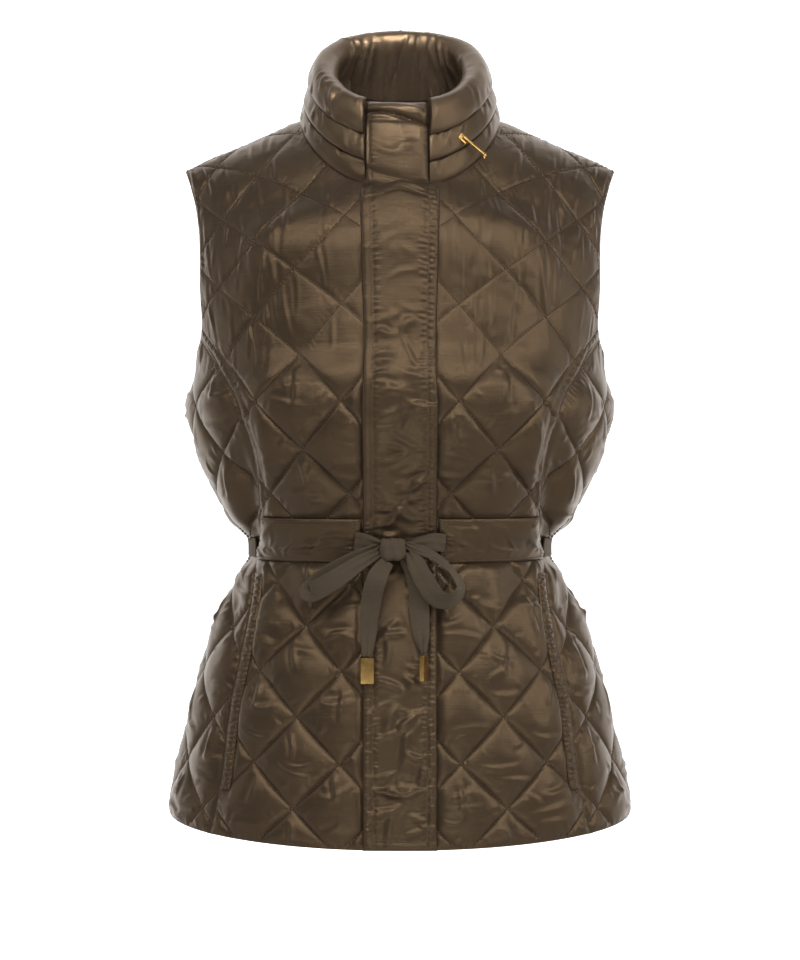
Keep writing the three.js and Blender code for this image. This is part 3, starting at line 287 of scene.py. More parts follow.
class Lattice:
    """The two families of stitched lines: both numbers are whole where lines cross."""

    def __init__(self, table, chart):
        runs = run_at(chart, REFERENCE_ACROSS, table[:, 1])
        above = [(row, runs[0] - row * ROW_PITCH_TOP, table[0, 2], table[0, 3]) for row in (-2, -4)]
        rows = np.concatenate([np.column_stack([table[:, 0], runs, table[:, 2:]]), above])
        self.row_at = curve(rows[:, 1], rows[:, 0])
        self.column_at = curve(rows[:, 1], rows[:, 2])
        self.pitch_at = curve(rows[:, 1], rows[:, 3])
        self.runs = np.arange(-700, 161, 2.0)
        self.rows = -self.row_at(self.runs)

    def to_lines(self, arc, run):
        row = self.row_at(run)
        across = (arc - self.column_at(run)) / self.pitch_at(run)
        return (across + row + 1) / 2, (row - across + 1) / 2

    def to_cloth(self, a, b):
        run = np.interp(-(a + b - 1), self.rows, self.runs)
        return self.column_at(run) + (a - b) * self.pitch_at(run), run


def quilt_table(column=0.0, height=0.0, pitch=(1.0, 0.0), centred=False):
    table = QUILT.copy()
    table[:, 1] += height
    table[:, 2] = 0 if centred else table[:, 2] + column
    table[:, 3] = pitch[0] * table[:, 3] + pitch[1]
    return table


def princess_arc(height):
    return arc_at("front", princess_across(height) / half_width(height), height)


def hem_run(arc, chart):
    round_off = np.cos(np.clip(np.abs(arc) / side_arc(chart, HEM_SIDE), 0, 1) * math.pi / 2)
    share = round_off ** 0.9 if chart == "front" else 0.6 * round_off
    return HEM_SIDE + (HEM_FRONT - HEM_SIDE) * share


def neck_place(chart, angle):
    across = NECK_HALF_WIDTH * np.sin(angle)
    dip = np.maximum(0, 1 - (across / NECK_HALF_WIDTH) ** 2) ** NECK_CURVE
    height = -(NECK_DROP if chart == "front" else NAPE_DROP) * dip
    return across, height


def neck_on_cloth(chart, angle):
    across, height = neck_place(chart, angle)
    arc = arc_at(chart, across / half_width(height), BUST_HEIGHT)
    return np.stack([arc, run_at(chart, across, height)], -1)


def neck_point(chart, angle):
    across, height = neck_place(chart, angle)
    return body_point(chart, across / half_width(height), height, climb(across, height))


ARMHOLE_HEIGHTS = np.array([-208, -207, -204, -197, -188, -176, -160, -142, -124, -106, -90, -76,
                            -64, -48.0])


def armhole_places(chart):
    share = curve(ARMHOLE[:, 0], ARMHOLE[:, 1 if chart == "front" else 2])
    s = np.minimum(1, share(ARMHOLE_HEIGHTS))
    run = run_at(chart, s * half_width(ARMHOLE_HEIGHTS), ARMHOLE_HEIGHTS)
    run[-1] = ridge_run(chart)
    return np.stack([arc_at(chart, s, BUST_HEIGHT), run], -1)


def row_of(arc, run):
    return np.stack(np.broadcast_arrays(np.asarray(arc, float), np.asarray(run, float)), -1)


def front_outline():
    """The left front in arc and run, with its princess seam and the seam's end at the armhole."""
    armhole = armhole_places("front")
    start = int(np.argmax(armhole[:, 1] > SEAM_MEETS_ARMHOLE))
    meeting = armhole[start]
    runs = np.linspace(HEM_SIDE, meeting[1], 60)[:-1]
    runs[0] = hem_run(princess_arc(HEM_SIDE), "front")
    t = np.clip((runs - SEAM_BENDS_OUT) / (meeting[1] - SEAM_BENDS_OUT), 0, 1)
    arcs = princess_arc(np.minimum(runs, SEAM_TOP))
    seam = row_of(arcs + (meeting[0] - arcs) * t * t, runs)
    opening = HALF_GAP + 3  # from the centre line, under the placket
    hem_arcs = np.linspace(opening, seam[0, 0], 30)[:-1]
    hem = row_of(hem_arcs, hem_run(hem_arcs, "front"))
    neck = neck_on_cloth("front", np.linspace(math.pi / 2, 0.05, 30))
    shoulder = row_of(np.linspace(armhole[-1, 0], neck[0, 0], 20)[1:-1], ridge_run("front"))
    neck[-1, 0] = opening
    edge = row_of(opening, np.linspace(neck[-1, 1], hem[0, 1], 40)[1:-1])
    outline = np.concatenate([hem, seam - (HALF_GAP, 0), armhole[start:], shoulder, neck, edge])
    return outline, seam, meeting


def side_outline(seam, meeting):
    armhole = armhole_places("front")
    start = int(np.argmax(armhole[:, 1] > SEAM_MEETS_ARMHOLE))
    arcs = np.linspace(seam[0, 0], side_arc("front", HEM_SIDE), 20)[1:-1]
    hem = row_of(arcs, hem_run(arcs, "front"))
    runs = np.linspace(HEM_SIDE, UNDERARM, 60)
    side = row_of(side_arc("front", runs) - HALF_GAP, runs)
    inner = np.concatenate([seam, meeting[None]])[::-1] + (HALF_GAP, 0)
    return np.concatenate([hem, side, armhole[1:start], inner])


def back_outline():
    armhole = armhole_places("back")
    runs = np.linspace(HEM_SIDE, UNDERARM, 60)
    side = row_of(side_arc("back", runs) - HALF_GAP, runs)
    arcs = np.linspace(0, side[0, 0], 30)[:-1]
    hem = row_of(arcs, hem_run(arcs, "back"))
    neck = neck_on_cloth("back", np.linspace(math.pi / 2, 0, 30))
    shoulder = row_of(np.linspace(armhole[-1, 0], neck[0, 0], 20)[1:-1], ridge_run("back"))
    right = np.concatenate([hem, side, armhole[1:], shoulder, neck])
    left = right[1:-1][::-1] * (-1, 1)
    outline = np.concatenate([right, left])
    outline[:, 1] -= np.where(outline[:, 1] > ridge_run("back") - 0.01, 1.6, 0)
    return outline


def inside_distance(points, outline):
    """How far each point lies inside an outline, negative outside it."""
    shape = points.shape[:-1]
    flat = points.reshape(-1, 2)
    found = np.empty(len(flat))
    a, b = outline, np.roll(outline, -1, 0)
    d = b - a
    size = (d * d).sum(1)
    for s in range(0, len(flat), 20000):
        p = flat[s:s + 20000]
        rel = p[:, None] - a[None]
        t = np.clip((rel * d).sum(2) / size, 0, 1)
        gap = rel - t[..., None] * d
        near = np.sqrt((gap * gap).sum(2).min(1))
        up = (a[:, 1] <= p[:, 1:2]) != (b[:, 1] <= p[:, 1:2])
        height = np.where(d[:, 1] == 0, 1, d[:, 1])
        crossing = a[:, 0] + (p[:, 1:2] - a[:, 1]) / height * d[:, 0]
        inside = (up & (crossing > p[:, :1])).sum(1) % 2 == 1
        found[s:s + 20000] = np.where(inside, near, -near)
    return found.reshape(shape)


# Cloth that is a little longer than its place

def noise_field(shape, cell, rng):
    """Smooth noise, mostly within -1 to 1, that changes over this many grid cells."""
    rows, columns = int(shape[0] / cell) + 4, int(shape[1] / cell) + 4
    grid = rng.standard_normal((rows, columns)).astype(np.float32)
    y = np.linspace(0, rows - 3.001, shape[0])
    x = np.linspace(0, columns - 3.001, shape[1])
    i, j = y.astype(int), x.astype(int)
    fy, fx = smooth(y - i, 0, 1)[:, None], smooth(x - j, 0, 1)[None, :]
    upper = grid[i][:, j] * (1 - fx) + grid[i][:, j + 1] * fx
    lower = grid[i + 1][:, j] * (1 - fx) + grid[i + 1][:, j + 1] * fx
    return (upper * (1 - fy) + lower * fy).astype(np.float32)


def neighbours(di, dj, count, width):
    """The grid and the same grid shifted by some rows and columns, where both exist."""
    first = (slice(0, count - di), slice(0, width - dj) if dj >= 0 else slice(-dj, None))
    second = (slice(di, None), slice(dj, None) if dj >= 0 else slice(0, width + dj))
    return first, second


# At each step: how fast the padding pushes out, how stiffly the cloth bends, and what speed it keeps
PUSH, BEND, KEPT_SPEED = 0.03, 0.04, 0.9


def relax(rest, target, fixed, pinned, excess, steps, start, lowest):
    """Lets a sheet settle that is longer than its place, pushed out towards a height.

    excess is (share along x, share along y) of extra length. Fixed and pinned points stay at
    their rest places, at height zero."""
    count, width = rest.shape[:2]
    home = np.zeros((count, width, 3), np.float32)
    home[..., :2] = rest
    place = start.astype(np.float32)
    before = place.copy()
    links = []
    for di, dj, stiff in ((1, 0, 1.0), (0, 1, 1.0), (1, 1, 0.5), (1, -1, 0.5)):
        first, second = neighbours(di, dj, count, width)
        d = home[second][..., :2] - home[first][..., :2]
        square = (d * d).sum(2) + 1e-9
        more = [0.5 * (e[first] + e[second]) for e in excess]
        longer = (more[0] * d[..., 0] ** 2 + more[1] * d[..., 1] ** 2) / square
        links.append((first, second, di, stiff * 0.5, np.sqrt(square) * (1 + longer)))
    held = fixed | pinned
    for _ in range(steps):
        speed = (place - before) * KEPT_SPEED
        before = place.copy()
        place += speed
        place[..., 2] += PUSH * np.clip(target - place[..., 2], -1, 3)
        for first, second, di, stiff, length in links:
            ends = place[first], place[second]
            for colour in (0, 1):
                cut = slice(colour, None, 2) if di else (slice(None), slice(colour, None, 2))
                a, b, want = ends[0][cut], ends[1][cut], length[cut]
                d = b - a
                long = np.sqrt((d * d).sum(2)) + 1e-9
                move = d * (stiff * (long - want) / long)[..., None]
                a += move
                b -= move
        z = place[..., 2]
        flat = z.copy()
        flat[1:-1] += BEND * (0.5 * (z[2:] + z[:-2]) - z[1:-1])
        flat[:, 1:-1] += BEND * (0.5 * (z[:, 2:] + z[:, :-2]) - z[:, 1:-1])
        place[..., 2] = np.maximum(flat, lowest)
        place[held] = home[held]
    return place - home


def finer(field, shape):
    """A displacement grid at a finer spacing."""
    y, x = (np.linspace(0, have - 1, want) for have, want in zip(field.shape, shape))
    i = np.minimum(y.astype(int), field.shape[0] - 2)
    j = np.minimum(x.astype(int), field.shape[1] - 2)
    fy, fx = (y - i)[:, None, None], (x - j)[None, :, None]
    top = field[i][:, j] * (1 - fx) + field[i][:, j + 1] * fx
    low = field[i + 1][:, j] * (1 - fx) + field[i + 1][:, j + 1] * fx
    return (top * (1 - fy) + low * fy).astype(np.float32)


def settle(rest, target, fixed, pinned, excess, rng, steps=(110, 60), lowest=0.0, wobble=0.5):
    """relax() on every second point first, then on all of them."""
    half = (slice(None, None, 2), slice(None, None, 2))
    shape = rest[half].shape[:2]
    start = np.zeros((*shape, 3), np.float32)
    start[..., :2] = rest[half]
    start[..., 2] = 0.5 * target[half]
    for axis in range(3):
        start[..., axis] += wobble * noise_field(shape, 3, rng) * (target[half] > 0.15)
    coarse = relax(rest[half], target[half], fixed[half], pinned[half], [e[half] for e in excess],
                   steps[0], start, lowest)
    start = np.zeros((*rest.shape[:2], 3), np.float32)
    start[..., :2] = rest
    start += finer(coarse, rest.shape[:2])
    return relax(rest, target, fixed, pinned, excess, steps[1], start, lowest)


def crease_relief(x, y, creases):
    """Height of folds placed one by one: each runs from one point to another, with its width,
    height and how far it bends sideways, and is a ridge with a valley beside it."""
    relief = np.zeros(x.shape)
    for x0, y0, x1, y1, width, height, bow in creases:
        length = math.hypot(x1 - x0, y1 - y0)
        along_x, along_y = (x1 - x0) / length, (y1 - y0) / length
        reach = 4 * width + abs(bow)
        near = ((x > min(x0, x1) - reach) & (x < max(x0, x1) + reach)
                & (y > min(y0, y1) - reach) & (y < max(y0, y1) + reach))
        px, py = x[near] - x0, y[near] - y0
        t = np.clip((px * along_x + py * along_y) / length, 0, 1)
        aside = (py * along_x - px * along_y - bow * 4 * t * (1 - t)) / width
        ridge = np.exp(-aside ** 2) - 0.6 * np.exp(-((aside - 1.6) / 1.1) ** 2)
        relief[near] += height * np.sin(math.pi * t) ** 0.8 * ridge
    return relief


# Meshes

def mesh_object(name, points, faces, material, smooth_angle=55, mirror=False):
    """An object from points in millimetres and faces of three or four corners."""
    points = np.array(points, float) * MM
    if mirror:
        points[:, 0] *= -1
    mesh = bpy.data.meshes.new(name)
    groups = [np.asarray(f, np.int32) for f in faces if len(f)]
    if mirror:
        groups = [g[:, ::-1] for g in groups]
    corners = np.concatenate([g.ravel() for g in groups])
    sizes = np.concatenate([np.full(len(g), g.shape[1], np.int32) for g in groups])
    mesh.vertices.add(len(points))
    mesh.vertices.foreach_set("co", points.astype(np.float32).ravel())
    mesh.loops.add(len(corners))
    mesh.loops.foreach_set("vertex_index", corners)
    mesh.polygons.add(len(sizes))
    starts = np.concatenate([[0], np.cumsum(sizes)[:-1]])
    mesh.polygons.foreach_set("loop_start", starts.astype(np.int32))
    mesh.polygons.foreach_set("use_smooth", np.ones(len(sizes), bool))
    mesh.update(calc_edges=True)
    mesh.validate()
    mesh.set_sharp_from_angle(angle=math.radians(smooth_angle))
    obj = bpy.data.objects.new(name, mesh)
    scene.collection.objects.link(obj)
    mesh.materials.append(material)
    return obj


def quads(grid):
    """Faces over a grid of point numbers, anticlockwise with rows running up."""
    return np.stack([grid[:-1, :-1], grid[:-1, 1:], grid[1:, 1:], grid[1:, :-1]], -1).reshape(-1, 4)


def wall_mesh(outer, inner):
    """Points and faces of a closed sheet between two grids of points. Rows run up, columns
    run anticlockwise when seen from outside."""
    rows, columns = outer.shape[:2]
    size = rows * columns
    number = np.arange(size).reshape(rows, columns)
    rim = np.concatenate([number[0, :-1], number[:-1, -1], number[-1, :0:-1], number[:0:-1, 0]])
    after = np.roll(rim, -1)
    sides = np.stack([after, rim, rim + size, after + size], -1)
    points = np.concatenate([outer.reshape(-1, 3), inner.reshape(-1, 3)])
    return points, [quads(number), quads(number + size)[:, ::-1], sides]


def rim_loop(triangles):
    """The points along a triangle mesh's open edge, in order."""
    edges = np.concatenate([triangles[:, [0, 1]], triangles[:, [1, 2]], triangles[:, [2, 0]]])
    pairs = {(a, b) for a, b in edges.tolist()}
    after = {a: b for a, b in pairs if (b, a) not in pairs}
    first = next(iter(after))
    loop = [first]
    while after[loop[-1]] != first:
        loop.append(after[loop[-1]])
    return loop, len(after)


def clip_grid(place, inside):
    """The part of a grid where inside is positive: places and triangles over them."""
    base = inside.size
    cells = quads(np.arange(base).reshape(inside.shape))
    value = inside.ravel()
    within = (value[cells] > 0).sum(1)
    whole = cells[within == 4]
    triangles = [whole[:, [0, 1, 2]], whole[:, [0, 2, 3]]]
    cut, places, extra = {}, [], []
    flat = place.reshape(base, -1)

    def crossing(p, q):
        key = (min(p, q), max(p, q))
        if key not in cut:
            t = value[p] / (value[p] - value[q])
            cut[key] = base + len(places)
            places.append(flat[p] + (flat[q] - flat[p]) * t)
        return cut[key]

    for cell in cells[(within > 0) & (within < 4)].tolist():
        polygon = []
        for p, q in zip(cell, cell[1:] + cell[:1]):
            if value[p] > 0:
                polygon.append(p)
            if (value[p] > 0) != (value[q] > 0):
                polygon.append(crossing(p, q))
        extra += [(polygon[0], polygon[k], polygon[k + 1]) for k in range(1, len(polygon) - 1)]
    faces = np.concatenate(triangles + [np.array(extra, int)])
    used, faces = np.unique(faces, return_inverse=True)
    everything = np.concatenate([flat, np.array(places)])
    return everything[used], faces.reshape(-1, 3)


BEADS = {}


def add_stitches(group, start, end, normal, side=0.42, rise=0.36):
    """Threads that show between needle holes, from start to end in millimetres."""
    BEADS.setdefault(group, []).append((start, end, normal, side, rise))


def stitch_along(group, points, normals, length, gap=0.5):
    """Stitches along a line of points."""
    walked = np.concatenate([[0], np.cumsum(np.linalg.norm(np.diff(points, axis=0), axis=1))])
    count = max(1, int(round(walked[-1] / length)))
    marks = np.linspace(0, walked[-1], count + 1)
    margin = gap / 2 * (marks[1] - marks[0]) / length
    first, last = marks[:-1] + margin, marks[1:] - margin

    def pick(at, rows):
        return np.stack([np.interp(at, walked, rows[:, k]) for k in range(3)], -1)

    add_stitches(group, pick(first, points), pick(last, points), pick((first + last) / 2, normals))


def stitch_object(name, group, mirror):
    """One joined mesh of a group's stitches, each a thin four-sided bead on its needle holes."""
    points, faces, base = [], [], 0
    for start, end, normal, side, rise in BEADS.pop(group):
        along = end - start
        across = np.cross(along, normal)
        across /= np.linalg.norm(across, axis=1, keepdims=True) + 1e-9
        normal = normal / (np.linalg.norm(normal, axis=1, keepdims=True) + 1e-9)
        rings = [start]
        for t in (0.22, 0.78):
            middle = start + along * t
            for turn in range(4):
                angle = turn * math.pi / 2
                rings.append(middle + across * side * math.cos(angle)
                             + normal * rise * (math.sin(angle) + 0.35))
        rings.append(end)
        block = np.stack(rings, 1)
        tips = [(0, 1 + k, 1 + (k + 1) % 4) for k in range(4)]
        tips += [(9, 5 + (k + 1) % 4, 5 + k) for k in range(4)]
        body = [(1 + k, 5 + k, 5 + (k + 1) % 4, 1 + (k + 1) % 4) for k in range(4)]
        offset = base + np.arange(len(start))[:, None, None] * len(rings)
        faces.append((np.array(tips)[None] + offset).reshape(-1, 3))
        faces.append((np.array(body)[None] + offset).reshape(-1, 4))
        points.append(block.reshape(-1, 3))
        base += block.shape[0] * len(rings)
    stitches = mesh_object(name, np.concatenate(points), faces, thread, 180, mirror)
    return dress(stitches)


def dress(obj, replaces=(), body="vest"):
    """Tells the frame which body a piece rides on and the solids it replaces."""
    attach(obj, body)
    if replaces:
        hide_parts(*replaces)
    return obj


# Materials

def material(name):
    made = bpy.data.materials.new(name)
    made.use_nodes = True
    nodes = made.node_tree.nodes
    return made, nodes, made.node_tree.links, nodes["Principled BSDF"]


def add_node(nodes, kind, inputs=None, **settings):
    node = nodes.new(kind)
    for key, value in settings.items():
        setattr(node, key, value)
    for key, value in (inputs or {}).items():
        node.inputs[key].default_value = value
    return node


def wire(links, *rows):
    """Links, each a row of the node and output it comes from and the node and input it goes to."""
    for source, output, target, name in rows:
        links.new(source.outputs[output], target.inputs[name])


def ramp(nodes, stops):
    node = nodes.new("ShaderNodeValToRGB")
    elements = node.color_ramp.elements
    while len(elements) < len(stops):
        elements.new(0.5)
    for element, (at, colour) in zip(elements, stops):
        element.position = at
        element.color = (*colour, 1)
    return node


def cloth_material(name, dark, light, roughness, thread_size=0.0004, weave=0.3, settings=None,
                   ribs=False, slubs=0.0):
    """Woven cloth: two tones that shift slowly, fine threads, and a roughness that varies a little."""
    made, nodes, links, shader = material(name)
    place = nodes.new("ShaderNodeTexCoord")
    drift = add_node(nodes, "ShaderNodeTexNoise", {"Scale": 26, "Detail": 3, "Roughness": 0.55})
    tone = ramp(nodes, ((0.32, dark), (0.68, light)))
    wire(links, (place, "Object", drift, "Vector"), (drift, "Fac", tone, "Fac"))
    # threads up and across, each a wave, multiplied into a weave
    threads = {"Scale": 1 / thread_size / 6.283, "Distortion": 1.2, "Detail": 1, "Detail Scale": 2}
    warp = add_node(nodes, "ShaderNodeTexWave", threads, bands_direction="Z")
    weft = add_node(nodes, "ShaderNodeTexWave", threads, bands_direction="DIAGONAL" if ribs else "X")
    both = add_node(nodes, "ShaderNodeMath", operation="MULTIPLY")
    wire(links, (place, "Object", warp, "Vector"), (place, "Object", weft, "Vector"),
         (warp, "Fac", both, 0), (weft, "Fac", both, 1))
    # thicker threads here and there, from noise stretched along them
    slub = add_node(nodes, "ShaderNodeTexNoise", {"Scale": 1.0, "Detail": 2})
    stretch = add_node(nodes, "ShaderNodeMapping", {"Scale": (45, 45, 700)})
    streak = add_node(nodes, "ShaderNodeMix", {"Factor": 0.10}, data_type="RGBA", blend_type="OVERLAY")
    wire(links, (place, "Object", stretch, "Vector"), (stretch, "Vector", slub, "Vector"),
         (tone, "Color", streak, "A"), (slub, "Fac", streak, "B"), (streak, "Result", shader, "Base Color"))
    uneven = add_node(nodes, "ShaderNodeBump", {"Strength": slubs, "Distance": 0.0004})
    bump = add_node(nodes, "ShaderNodeBump", {"Strength": weave, "Distance": 0.0002})
    wire(links, (slub, "Fac", uneven, "Height"), (both, "Value", bump, "Height"),
         (uneven, "Normal", bump, "Normal"), (bump, "Normal", shader, "Normal"))
    gloss = add_node(nodes, "ShaderNodeMapRange", {"To Min": roughness - 0.04, "To Max": roughness + 0.06})
    wire(links, (drift, "Fac", gloss, "Value"), (gloss, "Result", shader, "Roughness"))
    for key, value in (settings or {}).items():
        shader.inputs[key].default_value = value
    return made


SATIN_TINT = (1.0, 0.67, 0.38, 1)
satin = cloth_material("satin", (0.041, 0.0285, 0.019), (0.051, 0.0355, 0.023), 0.29, slubs=0.35, settings={
    "Specular IOR Level": 1.0, "Specular Tint": SATIN_TINT,
    "Sheen Weight": 0.05, "Sheen Roughness": 0.4, "Sheen Tint": (0.8, 0.6, 0.42, 1)})
# the thread's paler colour is partly its own and partly painted highlight, for the light the stitches catch
thread = cloth_material("thread", (0.10, 0.070, 0.046), (0.13, 0.092, 0.060), 0.42, thread_size=0.0002,
                        settings={"Specular IOR Level": 0.8, "Specular Tint": SATIN_TINT})
grosgrain = cloth_material("grosgrain", (0.086, 0.062, 0.038), (0.106, 0.076, 0.047), 0.78,
                           thread_size=0.0008, weave=0.8, ribs=True, settings={
    "Specular IOR Level": 0.3,
    "Sheen Weight": 0.2, "Sheen Roughness": 0.5, "Sheen Tint": (0.75, 0.64, 0.5, 1)})
tape = cloth_material("zip_tape_cloth", (0.03, 0.024, 0.017), (0.038, 0.030, 0.021), 0.8,
                      thread_size=0.0006, weave=0.6)


def metal_material():
    """Brushed gold-coloured metal."""
    made, nodes, links, shader = material("gold")
    place = nodes.new("ShaderNodeTexCoord")
    cloud = add_node(nodes, "ShaderNodeTexNoise", {"Scale": 160, "Detail": 4})
    brush = add_node(nodes, "ShaderNodeTexNoise", {"Scale": 1.0, "Detail": 3})
    stretch = add_node(nodes, "ShaderNodeMapping", {"Scale": (2500, 2500, 120)})
    tone = ramp(nodes, ((0.35, (0.62, 0.38, 0.12)), (0.7, (0.78, 0.50, 0.18))))
    gloss = add_node(nodes, "ShaderNodeMapRange", {"To Min": 0.16, "To Max": 0.34})
    bump = add_node(nodes, "ShaderNodeBump", {"Strength": 0.12, "Distance": 0.0001})
    wire(links, (place, "Object", cloud, "Vector"), (place, "Object", stretch, "Vector"),
         (stretch, "Vector", brush, "Vector"), (cloud, "Fac", tone, "Fac"),
         (tone, "Color", shader, "Base Color"), (cloud, "Fac", gloss, "Value"),
         (gloss, "Result", shader, "Roughness"), (brush, "Fac", bump, "Height"),
         (bump, "Normal", shader, "Normal"))
    shader.inputs["Metallic"].default_value = 1
    return made


gold = metal_material()

# Quilted panels

def beside(off, half, rise=6.0):
    """Nothing under a strip, and steeply up from its edge, as padding stands beside a seam."""
    return np.sqrt(np.clip((off - half) / rise, 0, 1))


# Arc where a casing ends beside the princess seam, the pocket's band, and the cloth under both
CASING_OUTER = float(princess_arc(np.array(float(WAIST)))) - 4
POCKET = {"low": -602, "high": -412, "width": 11.5, "inset": 1.8}
OVER_FRONT = 2.35


def front_flat(arc, run):
    """0 where a front lies flat under a strip sewn on it, 1 where its padding stands free.

    Half widths of the flat cloth, and how far the padding takes to rise beside it."""
    under_placket = beside(np.abs(arc), PLACKET_HALF + 0.4)
    above_casing = beside(np.abs(run - (CASING_LOW + CASING_HIGH) / 2), 21)
    under_casing = np.maximum(above_casing, beside(arc, CASING_OUTER + 1, 9))
    middle = princess_arc(np.minimum(run, SEAM_TOP)) - POCKET["inset"] - POCKET["width"] / 2
    past = np.maximum(beside(run, POCKET["high"], 10), beside(-run, -POCKET["low"], 10))
    under_pocket = np.maximum(beside(np.abs(arc - middle), 5.2, 4), past)
    return under_placket * under_casing * under_pocket


def from_seam(arc, run):
    """How far a point of the front lies from its princess seam."""
    return princess_arc(np.minimum(run, SEAM_TOP)) - HALF_GAP - arc


SEAM_BAND = {"width": 9.5, "low": -395, "high": -196, "height": 1.8}
DIAMOND_SIDE = 52  # about, in millimetres


def on_seam_band(run):
    low, high = SEAM_BAND["low"], SEAM_BAND["high"]
    return smooth(run, low, low + 14) * (1 - smooth(run, high - 10, high))


def ribbon_flat(arc, run):
    """0 under the ribbon round the waist, 1 away from it."""
    return smooth(np.abs(run - WAIST), 12, 26)


def wrinkle_amount(run, rng):
    """Extra length across and up the cloth."""
    chest = smooth(run, -270, -190)
    patch = 0.5 + 0.5 * np.clip(noise_field(run.shape, 22, rng), -1, 1)
    other = 0.5 + 0.5 * np.clip(noise_field(run.shape, 26, rng), -1, 1)
    across = 0.008 + (0.030 - 0.010 * chest) * patch
    up = 0.006 + (0.034 - 0.030 * chest) * other
    return across, up


CHEST_FROM = -235  # above it the diamonds have no folds of their own
LOWER_FROM = -380  # below it their folds are deeper
CLOTH_PER_FOLD = 620  # square millimetres of chest for one upright fold


def panel_creases(lattice, outline, rng, full):
    """Long upright folds over the chest, and a few folds in every diamond further down."""
    made = []
    low, high = outline.min(0), outline.max(0)
    area = (high[0] - low[0]) * (high[1] - CHEST_FROM)
    for _ in range(int(area / CLOTH_PER_FOLD * full)):
        arc, run = rng.uniform(low[0], high[0]), rng.uniform(CHEST_FROM - 10, high[1] - 20)
        length, lean = rng.uniform(30, 85), rng.normal(0, 0.10)
        made.append((arc, run, arc + lean * length, run + length, rng.uniform(1.7, 2.9),
                     rng.choice((-1, 1)) * rng.uniform(0.35, 0.85), rng.uniform(-3, 3)))
    corners = np.stack(lattice.to_lines(outline[:, 0], outline[:, 1]), -1)
    first, last = np.floor(corners.min(0)).astype(int), np.ceil(corners.max(0)).astype(int)

    def fold(a0, b0, a1, b1, width, height, bow):
        (x0, y0), (x1, y1) = lattice.to_cloth(a0, b0), lattice.to_cloth(a1, b1)
        made.append((float(x0), float(y0), float(x1), float(y1), width, height, bow))

    for i in range(first[0], last[0]):
        for j in range(first[1], last[1]):
            middle = lattice.to_cloth(i + 0.5, j + 0.5)[1]
            deep = rng.uniform(0.7, 1.5) * (1.25 if middle < LOWER_FROM else 1.0)
            if middle > CHEST_FROM:
                continue
            if rng.random() < 0.75:
                top, slip = rng.uniform(0.10, 0.22), rng.uniform(-0.10, 0.10)
                long = rng.uniform(0.25, 0.5)
                fold(i + top + slip, j + top - slip, i + top + long, j + top + long,
                     rng.uniform(1.8, 2.8), 1.3 * deep, rng.uniform(-2, 2))
            for _ in range(int(rng.integers(1, 4))):
                down, half = rng.uniform(-0.22, 0.26), rng.uniform(0.12, 0.3)
                shift, tilt = rng.uniform(-0.12, 0.12), rng.uniform(-0.07, 0.07)
                fold(i + 0.5 + down - half + shift + tilt, j + 0.5 + down + half - shift + tilt,
                     i + 0.5 + down + half + shift - tilt, j + 0.5 + down - half - shift - tilt,
                     rng.uniform(1.9, 3.6), deep * rng.uniform(0.5, 1.0), rng.uniform(-5, 5))
            for _ in range(int(rng.integers(5, 11))):
                # puckers that start at a stitched line
                at, reach = rng.uniform(0.12, 0.88), rng.uniform(0.12, 0.3)
                skew = rng.uniform(-0.1, 0.1)
                line = rng.integers(0, 4)
                ends = [(at, 0.03, at + skew, reach), (0.03, at, reach, at + skew),
                        (at, 0.97, at + skew, 1 - reach), (0.97, at, 1 - reach, at + skew)][line]
                fold(i + ends[0], j + ends[1], i + ends[2], j + ends[3],
                     rng.uniform(1.5, 2.3), rng.uniform(0.35, 0.9), rng.uniform(-1, 1))
    return made


def seam_puckers(rng):
    """Short folds across the stitched band along the princess seam."""
    made = []
    run = SEAM_BAND["low"] + 6.0
    while run < SEAM_BAND["high"] - 6:
        seam_at = float(princess_arc(np.array(min(run, float(SEAM_TOP))))) - HALF_GAP
        made.append((seam_at - SEAM_BAND["width"] - rng.uniform(0, 5), run, seam_at - rng.uniform(0, 3),
                     run + rng.uniform(-3, 3), 1.4, rng.uniform(0.35, 0.7), 0.0))
        run += rng.uniform(3.6, 6.0)
    return made


